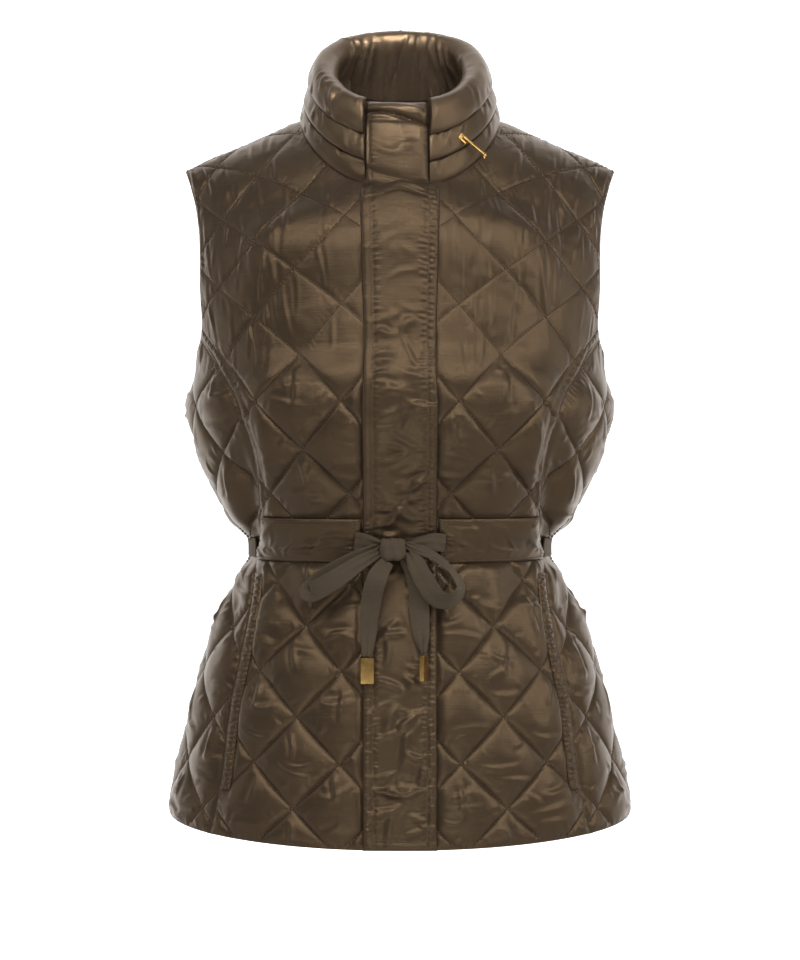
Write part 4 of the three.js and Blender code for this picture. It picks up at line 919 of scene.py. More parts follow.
class Sheet:
    """A panel's grid along the stitched lines, and how high and how free each point of it is."""

    def __init__(self, chart, outline, lattice, flat, cells, band):
        lines = np.stack(lattice.to_lines(outline[:, 0], outline[:, 1]), -1)
        low, high = np.floor(lines.min(0)), np.ceil(lines.max(0))
        a = np.arange(int(low[0] * cells), int(high[0] * cells) + 1) / cells
        b = np.arange(int(low[1] * cells), int(high[1] * cells) + 1) / cells
        grid_a, grid_b = np.meshgrid(a, b, indexing="ij")
        self.arc, self.run = lattice.to_cloth(grid_a, grid_b)
        self.rest = np.stack([self.arc, self.run], -1).astype(np.float32)
        self.inside = inside_distance(self.rest, outline)
        self.soft = flat(self.arc, self.run)
        self.stitched_a = np.round(a * cells).astype(int) % cells == 0
        self.stitched_b = np.round(b * cells).astype(int) % cells == 0
        self.pinned = self.stitched_a[:, None] | self.stitched_b[None, :]
        from_line = np.minimum(np.abs(grid_a - np.round(grid_a)), np.abs(grid_b - np.round(grid_b)))
        self.from_line = from_line * DIAMOND_SIDE
        waves = np.abs(np.sin(np.pi * grid_a) * np.sin(np.pi * grid_b))
        edge = np.sqrt(np.clip(self.inside / 15, 0, 1))
        flatter = 1 - (0.66 if chart == "front" else 0.4) * smooth(self.run, -262, -200)
        target = PUFF_HEIGHT * flatter * waves ** 0.42 * edge * self.soft
        if band:
            off, on = from_seam(self.arc, self.run), on_seam_band(self.run)
            tube = np.sqrt(np.clip(np.sin(math.pi * np.clip(off / SEAM_BAND["width"], 0, 1)), 0, 1))
            target = (target * (1 - on + on * beside(off, SEAM_BAND["width"]))
                      + on * SEAM_BAND["height"] * tube)
        self.target = target.astype(np.float32)

    def settled(self, rng):
        """How far each point moves as the padded cloth settles."""
        across, up = wrinkle_amount(self.run, rng)
        at_lines, at_edge = np.exp(-self.from_line / 4), np.exp(-np.clip(self.inside, 0, None) / 6)
        gather = 0.05 * at_lines + 0.06 * at_edge
        limit = np.clip(self.inside / 4, 0, 1) * (0.25 + 0.75 * self.soft)
        excess = [((e + gather) * limit).astype(np.float32) for e in (across, up)]
        return settle(self.rest, self.target, self.inside < 1.2, self.pinned, excess, rng)


def plain_inside(chart, sheet, rim, step):
    """Places and faces of a panel's inner side: its rim, few places within it, and where the rim's are."""
    few = (slice(None, None, step), slice(None, None, step))
    middle = sheet.rest[few][sheet.inside[few] > 5]
    given = [Vector(p) for p in np.concatenate([rim, middle]).tolist()]
    around = [(k, (k + 1) % len(rim)) for k in range(len(rim))]
    found, _, faces, origin, _, _ = geometry.delaunay_2d_cdt(given, around, [], 0, 1e-5, True)
    spots = np.array([tuple(p) for p in found])
    where = np.full(len(rim), -1)
    for k, sources in enumerate(origin):
        for source in sources:
            if source < len(rim):
                where[source] = k
    faces = np.array([tuple(f) for f in faces if len(f) == 3])
    faces = faces[inside_distance(spots[faces].mean(1), rim) > 0]
    clockwise = face_areas(spots, faces) < 0
    faces[clockwise] = faces[clockwise][:, ::-1]
    return spots, faces[:, ::-1] if chart == "front" else faces, where


def face_areas(places, faces):
    """Twice the area of each triangle, positive where it runs anticlockwise."""
    corner = places[faces][..., :2]
    return np.cross(corner[:, 1] - corner[:, 0], corner[:, 2] - corner[:, 0])


def quilting_stitches(group, chart, sheet, settled):
    """Stitches along every stitched line, each over two points of the grid."""
    height = WALL / 2 + 0.05
    share = 0.09  # of a stitch's length, left free for the needle hole at each end
    for axis, on in ((0, sheet.stitched_a), (1, sheet.stitched_b)):
        for line in np.flatnonzero(on):
            row = settled[line] if axis == 0 else settled[:, line]
            clear = (sheet.inside[line] if axis == 0 else sheet.inside[:, line]) > 2.0
            holes = np.arange(0, len(row) - 2, 2)
            good = holes[clear[holes] & clear[holes + 1] & clear[holes + 2]]
            if not len(good):
                continue
            first, last = row[good], row[good + 2]
            first, last = first + (last - first) * share, last - (last - first) * share
            add_stitches(group, cloth_point(chart, first[:, 0], first[:, 1], height),
                         cloth_point(chart, last[:, 0], last[:, 1], height),
                         outward(chart, first[:, 0], first[:, 1]), 0.56, 0.9)


def quilted_panel(name, node, chart, outline, lattice, flat, cells, seed, mirror=False, band=False):
    """A padded panel: settled cloth outside, plain inside, closed along its rim, and its thread."""
    rng = np.random.default_rng(seed)
    sheet = Sheet(chart, outline, lattice, flat, cells, band)
    moved = sheet.settled(rng)
    creases = panel_creases(lattice, outline, rng, 1.0 if chart == "front" else 0.6)
    free = (np.clip(sheet.inside / 5, 0, 1) * (1 - np.exp(-(sheet.from_line / 3.0) ** 2))
            * (0.2 + 0.8 * sheet.soft))
    moved[..., 2] += crease_relief(sheet.arc, sheet.run, creases) * free
    if band:
        relief = crease_relief(sheet.arc, sheet.run, seam_puckers(rng))
        moved[..., 2] += relief * np.clip(sheet.inside / 1.5, 0, 1)
    moved[..., 2] += 0.16 * noise_field(sheet.arc.shape, 5, rng) * free
    moved[..., 2] = np.maximum(moved[..., 2], -0.4)
    settled = np.concatenate([sheet.rest + moved[..., :2], moved[..., 2:]], -1)
    places, faces = clip_grid(settled, sheet.inside)
    if face_areas(places, faces).sum() < 0:
        faces = faces[:, ::-1]
    # anticlockwise in arc and run faces out of the front, and into the back
    turned = faces if chart == "front" else faces[:, ::-1]
    loop, open_edges = rim_loop(turned)
    if open_edges != len(loop):
        raise ValueError(f"{name}: the rim has {open_edges} edges and its loop has {len(loop)}")
    spots, inner_faces, where = plain_inside(chart, sheet, places[loop][:, :2], cells // 3)
    outer = cloth_point(chart, places[:, 0], places[:, 1], WALL / 2 + places[:, 2])
    inner = cloth_point(chart, spots[:, 0], spots[:, 1], -WALL / 2)
    count = len(outer)
    loop, below = np.array(loop), where + count
    side = np.stack([np.roll(loop, -1), loop, below, np.roll(below, -1)], -1)
    obj = mesh_object(name, np.concatenate([outer, inner]), [turned, inner_faces + count, side], satin,
                      mirror=mirror)
    dress(obj, (node,))
    quilting_stitches(name, chart, sheet, settled)
    stitch_object(name + "_stitching", name, mirror)


FRONT_LATTICE = Lattice(quilt_table(), "front")
SIDE_LATTICE = Lattice(quilt_table(column=12, height=-5), "front")
BACK_LATTICE = Lattice(quilt_table(pitch=(0.5, 20.5), centred=True), "back")
outline, seam, meeting = front_outline()
FINE, BACK_FINE = ((33, 24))  # grid cells along a diamond's side
for side, mirror, seed in (("left", False, 11), ("right", True, 12)):
    quilted_panel(f"quilted_front_{side}", f"front_{side}", "front", outline, FRONT_LATTICE, front_flat,
                  FINE, seed, mirror=mirror, band=True)
    quilted_panel(f"quilted_side_{side}", f"side_{side}", "front", side_outline(seam, meeting), SIDE_LATTICE,
                  ribbon_flat, FINE, seed + 10, mirror=mirror)
quilted_panel("quilted_back", "back", "back", back_outline(), BACK_LATTICE, ribbon_flat, BACK_FINE, 31)


# Strips sewn on the front

def strip_relief(width, length, spacing, target, gather, seed, extra, creases):
    """Places across and up a flat strip, and how far each moves as the strip settles.

    Target and gather are functions of those places: its height, and extra length at its seams."""
    columns, rows = 2 * int(round(width / spacing / 2)) + 1, 2 * int(round(length / spacing / 2)) + 1
    x, y = np.linspace(0, width, columns), np.linspace(0, length, rows)
    grid_x, grid_y = np.meshgrid(x, y)
    rest = np.stack([grid_x, grid_y], -1).astype(np.float32)
    height = target(grid_x, grid_y).astype(np.float32)
    held = np.zeros(rest.shape[:2], bool)
    held[0] = held[-1] = held[:, 0] = held[:, -1] = True
    rng = np.random.default_rng(seed)
    patch = 0.6 + 0.6 * np.clip(noise_field(held.shape, 12, rng), -1, 1)
    gathers = gather(grid_x, grid_y)
    excess = [(more + amount * patch).astype(np.float32) for more, amount in zip(gathers, extra)]
    moved = settle(rest, height, held, np.zeros_like(held), excess, rng)
    rim = np.min([grid_x, width - grid_x, grid_y, length - grid_y], axis=0)
    moved[..., 2] += crease_relief(grid_x, grid_y, creases) * np.clip(rim / 1.5, 0, 1)
    return grid_x, grid_y, moved


def puckers(rng, line, low, high, reach, pitch=(3.2, 6.0), height=(0.3, 0.7), width=1.2):
    """Short folds across a strip, from a stitched line up it to as far as reach, which has a sign."""
    made, y = [], low
    while y < high:
        long = reach * rng.uniform(0.35, 1.0)
        made.append((line, y, line + long, y + rng.uniform(-0.22, 0.22) * abs(long), width,
                     rng.uniform(*height), rng.uniform(-0.6, 0.6)))
        y += rng.uniform(*pitch)
    return made


def soft_folds(rng, count, x_range, y_range, length, width, height, lean):
    """Broad folds over a strip, each a different way round lean in degrees."""
    made = []
    for _ in range(count):
        x, y = rng.uniform(*x_range), rng.uniform(*y_range)
        angle, long = math.radians(rng.normal(*lean)), rng.uniform(*length)
        across, up = math.cos(angle) * long / 2, math.sin(angle) * long / 2
        made.append((x - across, y - up, x + across, y + up,
                     rng.uniform(*width), rng.uniform(*height), rng.uniform(-4, 4)))
    return made


def pillow(share, edge):
    """1 over the middle, falling round to 0 within edge of either end."""
    return np.sqrt(np.clip(np.minimum(share, 1 - share) / edge, 0, 1))


def lines_gather(x, lines, amount, reach):
    near = np.min([np.abs(x - line) for line in lines], axis=0)
    return amount * np.exp(-near / reach)


STITCH_LENGTH = 2.6


def strip(name, node, place, grid, seam_lines, low=0.4, mirror=False):
    """A strip sewn on a front: place(x, y) gives arc and run, and the strip stands on what it lies on."""
    x, y, moved = grid
    arc, run = place(x + moved[..., 0], y + moved[..., 1])
    outer = cloth_point("front", arc, run, OVER_FRONT + low + moved[..., 2])
    arc, run = place(x, y)
    inner = cloth_point("front", arc, run, np.full(arc.shape, OVER_FRONT))
    points, faces = wall_mesh(outer, inner)
    obj = mesh_object(name, points, faces, satin, mirror=mirror)
    dress(obj, (node,))
    normals = outward("front", arc, run)
    rows, columns = x.shape
    for kind, at in seam_lines:
        if kind == "up":
            column = int(round(at / x[0, -1] * (columns - 1)))
            line, normal = outer[2:-2, column], normals[2:-2, column]
        else:
            row = int(round(at / y[-1, 0] * (rows - 1)))
            line, normal = outer[row, 2:-2], normals[row, 2:-2]
        stitch_along(name, line, normal, STITCH_LENGTH)
    stitch_object(name + "_stitching", name, mirror)


PLACKET_WIDTH = 2 * PLACKET_HALF
UNDER_TAB = 14  # how far the placket goes on under the collar's tab
placket_length = float(run_at("front", np.array(0.0), np.array(float(PLACKET_TOP)))) - HEM_FRONT + UNDER_TAB


def placket_height(x, y):
    sides = np.minimum(x, PLACKET_WIDTH - x)
    band = 3.3 * np.sqrt(np.clip(1 - ((sides - BAND / 2) / (BAND / 2)) ** 2, 0, 1))
    middle = 2.6 * np.sqrt(np.clip((sides - BAND - 0.6) / 3.0, 0, 1))
    ends = np.sqrt(np.clip(np.minimum(np.abs(y - 9), placket_length - y) / 5, 0, 1))
    return np.where(sides < BAND, band, middle) * ends + 0.3


def placket_gather(x, y):
    return 0 * x, lines_gather(x, (BAND, PLACKET_WIDTH - BAND, 1, PLACKET_WIDTH - 1), 0.06, 3.0)


rng = np.random.default_rng(410)
placket_creases = (
    puckers(rng, BAND + 0.5, 12, placket_length, 9, height=(0.3, 0.6))
    + puckers(rng, PLACKET_WIDTH - BAND - 0.5, 12, placket_length, -10, height=(0.4, 0.9))
    + puckers(rng, PLACKET_WIDTH - BAND + 0.3, 8, placket_length, BAND - 1, (3.4, 5.5), (0.5, 1.0), 1.4)
    + puckers(rng, 0.6, 8, placket_length, BAND - 1.5, (6, 16), (0.15, 0.4), 1.5)
    + soft_folds(rng, 38, (15, 50), (12, 300), (14, 38), (2.2, 4.6), (0.9, 2.3), (12, 30))
    + soft_folds(rng, 24, (15, 50), (300, 455), (14, 36), (2.0, 4.0), (0.8, 1.9), (8, 26))
    + soft_folds(rng, 12, (15, 50), (455, placket_length - 30), (16, 34), (2.4, 5.0), (0.3, 0.7), (4, 12))
    + soft_folds(rng, 10, (18, 46), (20, 340), (25, 60), (3.0, 5.0), (0.5, 1.2), (84, 12))
    # the folds at its upper end, below the collar's tab
    + [(1, placket_length - 14, 64, placket_length - 15.5, 1.1, -1.6, 0),
       (12, placket_length - 11, 54, placket_length - 5, 3.4, 2.2, -2),
       (14, placket_length - 4, 48, placket_length - 8, 2.6, 1.4, 1)]
    + puckers(rng, 0.6, 10, 290, BAND - 1, (2.8, 4.8), (0.5, 1.2), 1.2)
    + puckers(rng, BAND + 0.4, 10, 290, 7, (2.8, 4.8), (0.3, 0.8), 1.2))
placket_grid = strip_relief(PLACKET_WIDTH, placket_length, 1.15, placket_height, placket_gather, 41,
                            (0.012, 0.022), placket_creases)
strip("placket_strip", "placket", lambda x, y: (x - PLACKET_HALF, HEM_FRONT + y), placket_grid,
      [("up", BAND - 0.5), ("up", PLACKET_WIDTH - BAND + 0.5), ("up", 1.8), ("up", PLACKET_WIDTH - 1.8),
       ("across", 9.0)])

CASING_INNER = 34
casing_width, casing_height = CASING_OUTER - CASING_INNER, float(CASING_HIGH - CASING_LOW)


def casing_place(x, y):
    run = CASING_LOW + y
    outer = np.minimum(princess_arc(run) - 3.5, CASING_OUTER)
    return CASING_INNER + (outer - CASING_INNER) * x / casing_width, run


def casing_bulge(x, y):
    return 3.6 * pillow(x / casing_width, 0.10) * pillow(y / casing_height, 0.30) + 0.3


def casing_gather(x, y):
    return lines_gather(y, (0, casing_height), 0.05, 3), lines_gather(x, (0, 6, casing_width), 0.05, 3)


pocket_length = float(POCKET["high"] - POCKET["low"])


def pocket_place(x, y):
    run = POCKET["low"] + y
    return princess_arc(run) - POCKET["inset"] - POCKET["width"] + x, run


def pocket_height(x, y):
    side = np.minimum(x, POCKET["width"] - x)
    groove = 1 - 0.55 * np.exp(-((side - 1.7) / 0.8) ** 2)
    return 1.6 * np.sqrt(np.clip(side / 1.6, 0, 1)) * groove + 0.2


def pocket_gather(x, y):
    return 0 * x, 0.04 + 0 * x


for side, mirror, seed in (("left", False, 51), ("right", True, 52)):
    rng = np.random.default_rng(seed + 100)
    wide, high = casing_width, casing_height
    folds = (soft_folds(rng, 12, (8, wide - 6), (7, high - 7), (16, 42), (2.2, 4.4), (0.5, 1.1), (8, 22))
             + soft_folds(rng, 9, (4, wide - 4), (6, high - 6), (10, 22), (1.6, 2.6), (0.3, 0.7), (80, 22))
             + puckers(rng, 6, 3, high - 3, 12, (3.0, 5.0), (0.4, 0.9), 1.3)
             + puckers(rng, wide - 1, 3, high - 3, -16, (3.0, 5.5), (0.5, 1.0), 1.6))
    grid = strip_relief(wide, high, 1.15, casing_bulge, casing_gather, seed, (0.03, 0.015), folds)
    strip(f"ribbon_casing_{side}", f"casing_{side}", casing_place, grid,
          [("across", 2.2), ("across", high - 2.2), ("up", 1.8), ("up", 5.5)], mirror=mirror)
    wide, high = POCKET["width"], pocket_length
    folds = puckers(rng, 0.3, 3, high - 3, wide - 0.6, (3.0, 5.2), (0.9, 1.7), 1.3)
    grid = strip_relief(wide, high, 1.0, pocket_height, pocket_gather, seed + 10, (0.01, 0.02), folds)
    strip(f"pocket_band_{side}", f"pocket_edge_{side}", pocket_place, grid,
          [("up", 1.7), ("up", wide - 1.7)], low=0.3, mirror=mirror)

# Collar

RIM = {"half_width": 66, "front": -78, "back": 45, "front_height": 8, "back_height": 81, "lift": 5}
TAB_LEFT, TAB_RIGHT = 25, 30.5


class Path:
    """A line, read at any share of its length."""

    def __init__(self, points):
        steps = np.linalg.norm(np.diff(points, axis=0), axis=1)
        self.along = np.concatenate([[0], np.cumsum(steps)])
        self.points, self.total = points, float(self.along[-1])

    def at(self, share):
        distance = np.clip(share, 0, 1) * self.total
        return np.stack([np.interp(distance, self.along, self.points[:, k]) for k in range(3)], -1)


turn = np.linspace(0, QUARTER_TURN, 161)
neck_path = Path(np.concatenate([neck_point("front", turn), neck_point("back", turn[::-1][1:])]))
turn = np.linspace(0, math.pi, 321)
forward = (1 + np.cos(turn)) / 2
rim_height = (RIM["back_height"] + (RIM["front_height"] - RIM["back_height"]) * forward
              + RIM["lift"] * np.sin(turn) ** 2)
rim_path = Path(np.stack([RIM["half_width"] * np.sin(turn).clip(0) ** 0.8,
                          RIM["back"] + (RIM["front"] - RIM["back"]) * forward, rim_height], -1))


def collar_share(distance, up):
    """Share of half the collar's length, from its middle in front, at a distance round it."""
    return distance / (neck_path.total + (rim_path.total - neck_path.total) * up)


def collar_middle(around, up):
    """A point between the neck and the rim; around is 0 in front, 1 or -1 at the back."""
    share = np.abs(around)
    low, high = neck_path.at(share), rim_path.at(share)
    point = low + (high - low) * np.asarray(up)[..., None]
    point[..., 0] *= np.where(around < 0, -1, 1)
    return point


def collar_normal(around, up, probe=0.02):
    ahead, behind = around + probe, around - probe
    ahead, behind = np.where(ahead > 1, ahead - 2, ahead), np.where(behind < -1, behind + 2, behind)
    across = collar_middle(ahead, up) - collar_middle(behind, up)
    rise = collar_middle(around, up + probe) - collar_middle(around, up - probe)
    normal = np.cross(across, rise)
    return normal / np.linalg.norm(normal, axis=-1, keepdims=True)


def collar_point(around, up, out):
    around, up, out = np.broadcast_arrays(around, up, out)
    return collar_middle(around, up) + collar_normal(around, up) * out[..., None]


def rounded(points, times):
    """A closed line with its corners cut off over and over."""
    for _ in range(times):
        after = np.roll(points, -1, 0)
        points = np.stack([0.75 * points + 0.25 * after, 0.25 * points + 0.75 * after], 1).reshape(-1, 2)
    return points


COLLAR_HEIGHT = 80.0  # millimetres for one unit of up, on average


def even_loop(points, spacing):
    """An even number of points spaced evenly along a closed line, and its length."""
    closed = np.concatenate([points, points[:1]])
    along = np.concatenate([[0], np.cumsum(np.linalg.norm(np.diff(closed, axis=0), axis=1))])
    count = 2 * int(along[-1] / spacing / 2)
    at = np.linspace(0, along[-1], count + 1)[:-1]
    return np.stack([np.interp(at, along, closed[:, k]) for k in range(2)], -1), along[-1]


def collar_folds(rng, length, low, high, count, size, height, width=(1.6, 3.2), lean=4.0):
    """Upright folds round a band of the collar."""
    made = []
    for _ in range(count):
        x, s = rng.uniform(0, length), rng.uniform(low, high)
        long = min(rng.uniform(*size), max(high - s, 6))
        made.append((x, s, x + rng.normal(0, lean), s + long, rng.uniform(*width),
                     rng.choice((-1, 1)) * rng.uniform(*height), rng.uniform(-2, 2)))
    return made


def lining_folds(rng, length, top_at):
    """Upright folds in the part of the lining that shows behind the opening."""
    made = []
    for share in np.linspace(0.36, 0.64, 12) + rng.uniform(-0.01, 0.01, 12):
        start = top_at + rng.uniform(2, 9)
        made.append((length * share, start, length * share + rng.normal(0, 7), start + rng.uniform(38, 62),
                     rng.uniform(2.0, 3.4), rng.choice((-1, 1)) * rng.uniform(2.6, 4.2), rng.uniform(-3, 3)))
    return made


def band_ends(number):
    """Faces that close both ends of a band, from the numbers of its points round it and along it."""
    rows = len(number)
    half = rows // 2
    for column, flip in ((0, True), (-1, False)):
        ring = number[:, column]
        fan = [(ring[k], ring[k + 1], ring[rows - 1 - k], ring[rows - k]) for k in range(1, half - 1)]
        caps = [(ring[0], ring[1], ring[rows - 1]), (ring[half - 1], ring[half], ring[half + 1])]
        for group in (fan, caps):
            yield np.array([face if flip else face[::-1] for face in group])


def collar_band(name, node, outline, seed, puff, crumple, folds, spacing=1.7, apart=0.4):
    """A band of the collar: its outline in height and thickness, run round from tab to tab,
    and under the tab where apart is below nought. Folds are how many outside and inside."""
    loop, total = even_loop(rounded(np.array(outline, float) * (COLLAR_HEIGHT, 1), 2), spacing)
    # start at the lowest point, which the neck seam or the band below hides
    loop = np.roll(loop, -int(np.argmin(loop[:, 0])), 0)
    rows = len(loop)
    mean_up = loop[:, 0].mean() / COLLAR_HEIGHT
    around_half = neck_path.total + (rim_path.total - neck_path.total) * mean_up
    length = 2 * around_half - TAB_LEFT - TAB_RIGHT
    columns = 2 * int(length / spacing / 2) + 1
    x, s = np.meshgrid(np.linspace(0, length, columns), np.linspace(0, total, rows + 1))
    rest = np.stack([x, s], -1).astype(np.float32)
    rng = np.random.default_rng(seed)
    held = np.zeros(x.shape, bool)
    held[:, 0] = held[:, -1] = True
    held[0] = held[-1] = True
    heights = np.append(loop[:, 0], loop[0, 0])
    rise = np.clip((heights - heights.min()) / 6, 0, 1)[:, None]
    target = (puff * rise * np.ones_like(x)).astype(np.float32)
    patch = 0.7 + 0.6 * np.clip(noise_field(x.shape, 14, rng), -1, 1)
    excess = [(amount * patch * rise).astype(np.float32) for amount in crumple]
    moved = settle(rest, target, held, np.zeros_like(held), excess, rng, wobble=0.8, lowest=-2.0)
    top_at = total * int(np.argmax(loop[:, 0])) / rows
    creases = collar_folds(rng, length, 4, top_at, folds[0], (10, 26), (0.4, 1.2))
    creases += collar_folds(rng, length, top_at, total - 6, folds[1], (24, 60), (1.6, 3.4), (2.4, 5.2), 7.0)
    if folds[1]:
        creases += lining_folds(rng, length, top_at)
    clear = np.clip(np.minimum(x, length - x) / 4, 0, 1)
    relief = crease_relief(x, s, creases)
    moved[..., 2] += relief * clear * rise + 0.25 * noise_field(x.shape, 6, rng) * clear * rise
    moved, x, rise = moved[:-1], x[:-1], rise[:-1]
    tangent = np.roll(loop, -1, 0) - np.roll(loop, 1, 0)
    tangent /= np.linalg.norm(tangent, axis=1, keepdims=True)
    # the loop runs up the outside and down the inside, so outwards is to its left
    normal = np.stack([-tangent[:, 1], tangent[:, 0]], -1)
    out_by = moved[..., 2:3] - puff * 0.5 * rise[:, :, None]
    spot = loop[:, None] + tangent[:, None] * moved[..., 1:2] + normal[:, None] * out_by
    up, out = spot[..., 0] / COLLAR_HEIGHT, spot[..., 1]
    share = np.clip((x + moved[..., 0]) / length, 0, 1)
    first, last = collar_share(TAB_LEFT + apart, up), 2 - collar_share(TAB_RIGHT + apart, up)
    around = first + (last - first) * share
    points = collar_point(np.where(around > 1, around - 2, around), up, out)
    number = np.arange(rows * columns).reshape(rows, columns)
    faces = [quads(np.concatenate([number, number[:1]])), *band_ends(number)]
    obj = mesh_object(name, points.reshape(-1, 3), faces, satin)
    dress(obj, (node,))


# each outline runs up the outside and down the inside; the top band's inner side lines the whole collar
STAND = [(-0.015, 1.8), (0.03, 4.0), (0.15, 5.2), (0.27, 5.6), (0.281, 4.9), (0.281, -1.2),
         (0.15, -0.6), (-0.015, -0.4)]
MIDDLE = [(0.284, 5.0), (0.292, 6.8), (0.36, 7.7), (0.47, 8.0), (0.58, 7.6), (0.591, 6.8), (0.591, -2.2),
          (0.47, -2.0), (0.36, -1.7), (0.284, -1.2)]
ROLL = [(0.595, 6.8), (0.602, 9.0), (0.66, 10.6), (0.8, 11.6), (0.95, 11), (1.03, 7.5), (1.062, 0),
        (1.045, -6.5), (0.96, -11.5), (0.8, -11.4), (0.66, -9.9), (0.5, -8.3), (0.3, -6.4), (0.1, -5.0),
        (-0.01, -4.2), (-0.01, -2.8), (0.1, -3.0), (0.3, -4.0), (0.5, -4.9), (0.59, -4.8)]
collar_band("collar_lowest_band", "collar_stand", STAND, 61, 0.5, (0.02, 0.01), (34, 0), apart=-4)
collar_band("collar_middle_band", "collar_middle", MIDDLE, 62, 0.6, (0.02, 0.01), (46, 0))
collar_band("collar_top_band", "collar_roll", ROLL, 63, 1.0, (0.035, 0.015), (76, 40))

TAB = np.array([
    # height, outer side, inner side
    (-0.03, 9.5, 5.5), (0.03, 12.5, 4), (0.12, 13, -1), (0.4, 14.5, -6), (0.7, 14, -8), (0.76, 11.5, -9),
    (0.84, 14, -10), (0.98, 12, -8), (1.03, 6, -3)])
TAB_FOOT = TAB[0, 0]
tab_width, tab_length = TAB_LEFT + TAB_RIGHT, (TAB[-1, 0] - TAB_FOOT) * COLLAR_HEIGHT
tab_outer, tab_inner = curve(TAB[:, 0], TAB[:, 1]), curve(TAB[:, 0], TAB[:, 2])


def tab_face(x, up):
    """The tab's outer side: a rolled top whose lower edge slants, and a slanting lower end."""
    share = np.clip(x / tab_width, 0, 1)
    fold = 0.85 - 0.14 * smooth(share, 0.25, 1.0)
    low_end = 0.20 - 0.19 * share
    under = np.exp(-((up - fold) / 0.022) ** 2)
    above = smooth(up, fold - 0.004, fold + 0.03) * (1 - smooth(up, fold + 0.12, 1.05))
    lower = np.exp(-((up - low_end) / 0.022) ** 2) + 0.5 * (1 - smooth(up, low_end - 0.03, low_end))
    return tab_outer(up) - 6.0 * under + 1.4 * above - 3.6 * lower


def tab_height(x, y):
    """Half the tab's thickness."""
    up = y / COLLAR_HEIGHT + TAB_FOOT
    full = pillow(x / tab_width, 0.13)
    return (tab_face(x, up) - tab_inner(up)) / 2 * (0.55 + 0.45 * full)


def tab_gather(x, y):
    return 0.02 + 0 * x, 0.04 * np.exp(-np.abs(x - tab_width) / 4)


rng = np.random.default_rng(710)
tab_creases = [
    # where each starts and ends, width, height and bend
    (7.4, 4, 7.6, 76, 1.1, -1.5, 0), (10, 62, 30, 57, 2.0, 0.5, 1), (12, 40, 34, 33, 3.6, 0.8, -2),
    (24, 34, 46, 42, 4.2, 0.9, 2), (30, 60, 42, 30, 5.0, 0.8, -3), (12, 14, 46, 7, 2.6, 0.9, -1),
    (14, 79, 30, 80, 2.2, 0.7, 1), (30, 76, 46, 71, 2.4, 0.8, 1), (45, 83, 53, 77, 1.6, 1.3, 1),
    (44, 78, 50, 72, 1.5, -1.2, 0), (48, 68, 54, 76, 1.6, 1.3, 0), (46, 64, 54, 68, 1.5, 1.0, 1)]
tab_creases += puckers(rng, tab_width - 1.5, 4, tab_length - 4, -8, (2.6, 4.4), (0.5, 1.2), 1.1)
tab_creases += puckers(rng, 7.8, 8, tab_length - 8, 8, (3.0, 5.5), (0.25, 0.6), 1.2)
x, y, moved = strip_relief(tab_width, tab_length, 1.1, tab_height, tab_gather, 71, (0.02, 0.02), tab_creases)
up = y / COLLAR_HEIGHT + TAB_FOOT


def tab_point(x, up, out):
    return collar_point(collar_share(x - TAB_RIGHT, up), up, out)


middle_out = (tab_face(x, up) + tab_inner(up)) / 2
half_thick = tab_height(x, y)
risen = np.where(moved[..., 2] == 0, half_thick, moved[..., 2])
outer = tab_point(x + moved[..., 0], up + moved[..., 1] / COLLAR_HEIGHT, middle_out + risen)
inner = tab_point(x, up, middle_out - half_thick)
points, faces = wall_mesh(outer, inner)
tab = mesh_object("collar_closing_tab", points, faces, satin)
dress(tab, ("collar_tab",))

# Ribbon

def catmull(stations, count):
    """Points along a centripetal curve through stations, evenly by station as in the solids."""
    points = stations[:, :3]
    ends = np.concatenate([[2 * points[0] - points[1]], points, [2 * points[-1] - points[-2]]])
    made = []
    for u in np.linspace(0, 1, count + 1):
        at = u * (len(points) - 1)
        i = min(int(at), len(points) - 2)
        w = at - i
        p = ends[i:i + 4]
        gap = [max(1e-4, float(((p[k + 1] - p[k]) ** 2).sum())) ** 0.25 for k in range(3)]
        start = (p[1] - p[0]) / gap[0] - (p[2] - p[0]) / (gap[0] + gap[1]) + (p[2] - p[1]) / gap[1]
        end = (p[2] - p[1]) / gap[1] - (p[3] - p[1]) / (gap[1] + gap[2]) + (p[3] - p[2]) / gap[2]
        start, end = start * gap[1], end * gap[1]
        made.append(p[1] + start * w + (3 * (p[2] - p[1]) - 2 * start - end) * w * w
                    + (2 * (p[1] - p[2]) + start + end) * w ** 3)
    return np.array(made)


def unit(vectors):
    return vectors / np.linalg.norm(vectors, axis=1, keepdims=True)


RIBBON_THICK, RIBBON_WIDTH, WAIST_RIBBON_WIDTH = 1.1, 18, 20
RIBBON_ACROSS = np.linspace(-0.5, 0.5, 13)


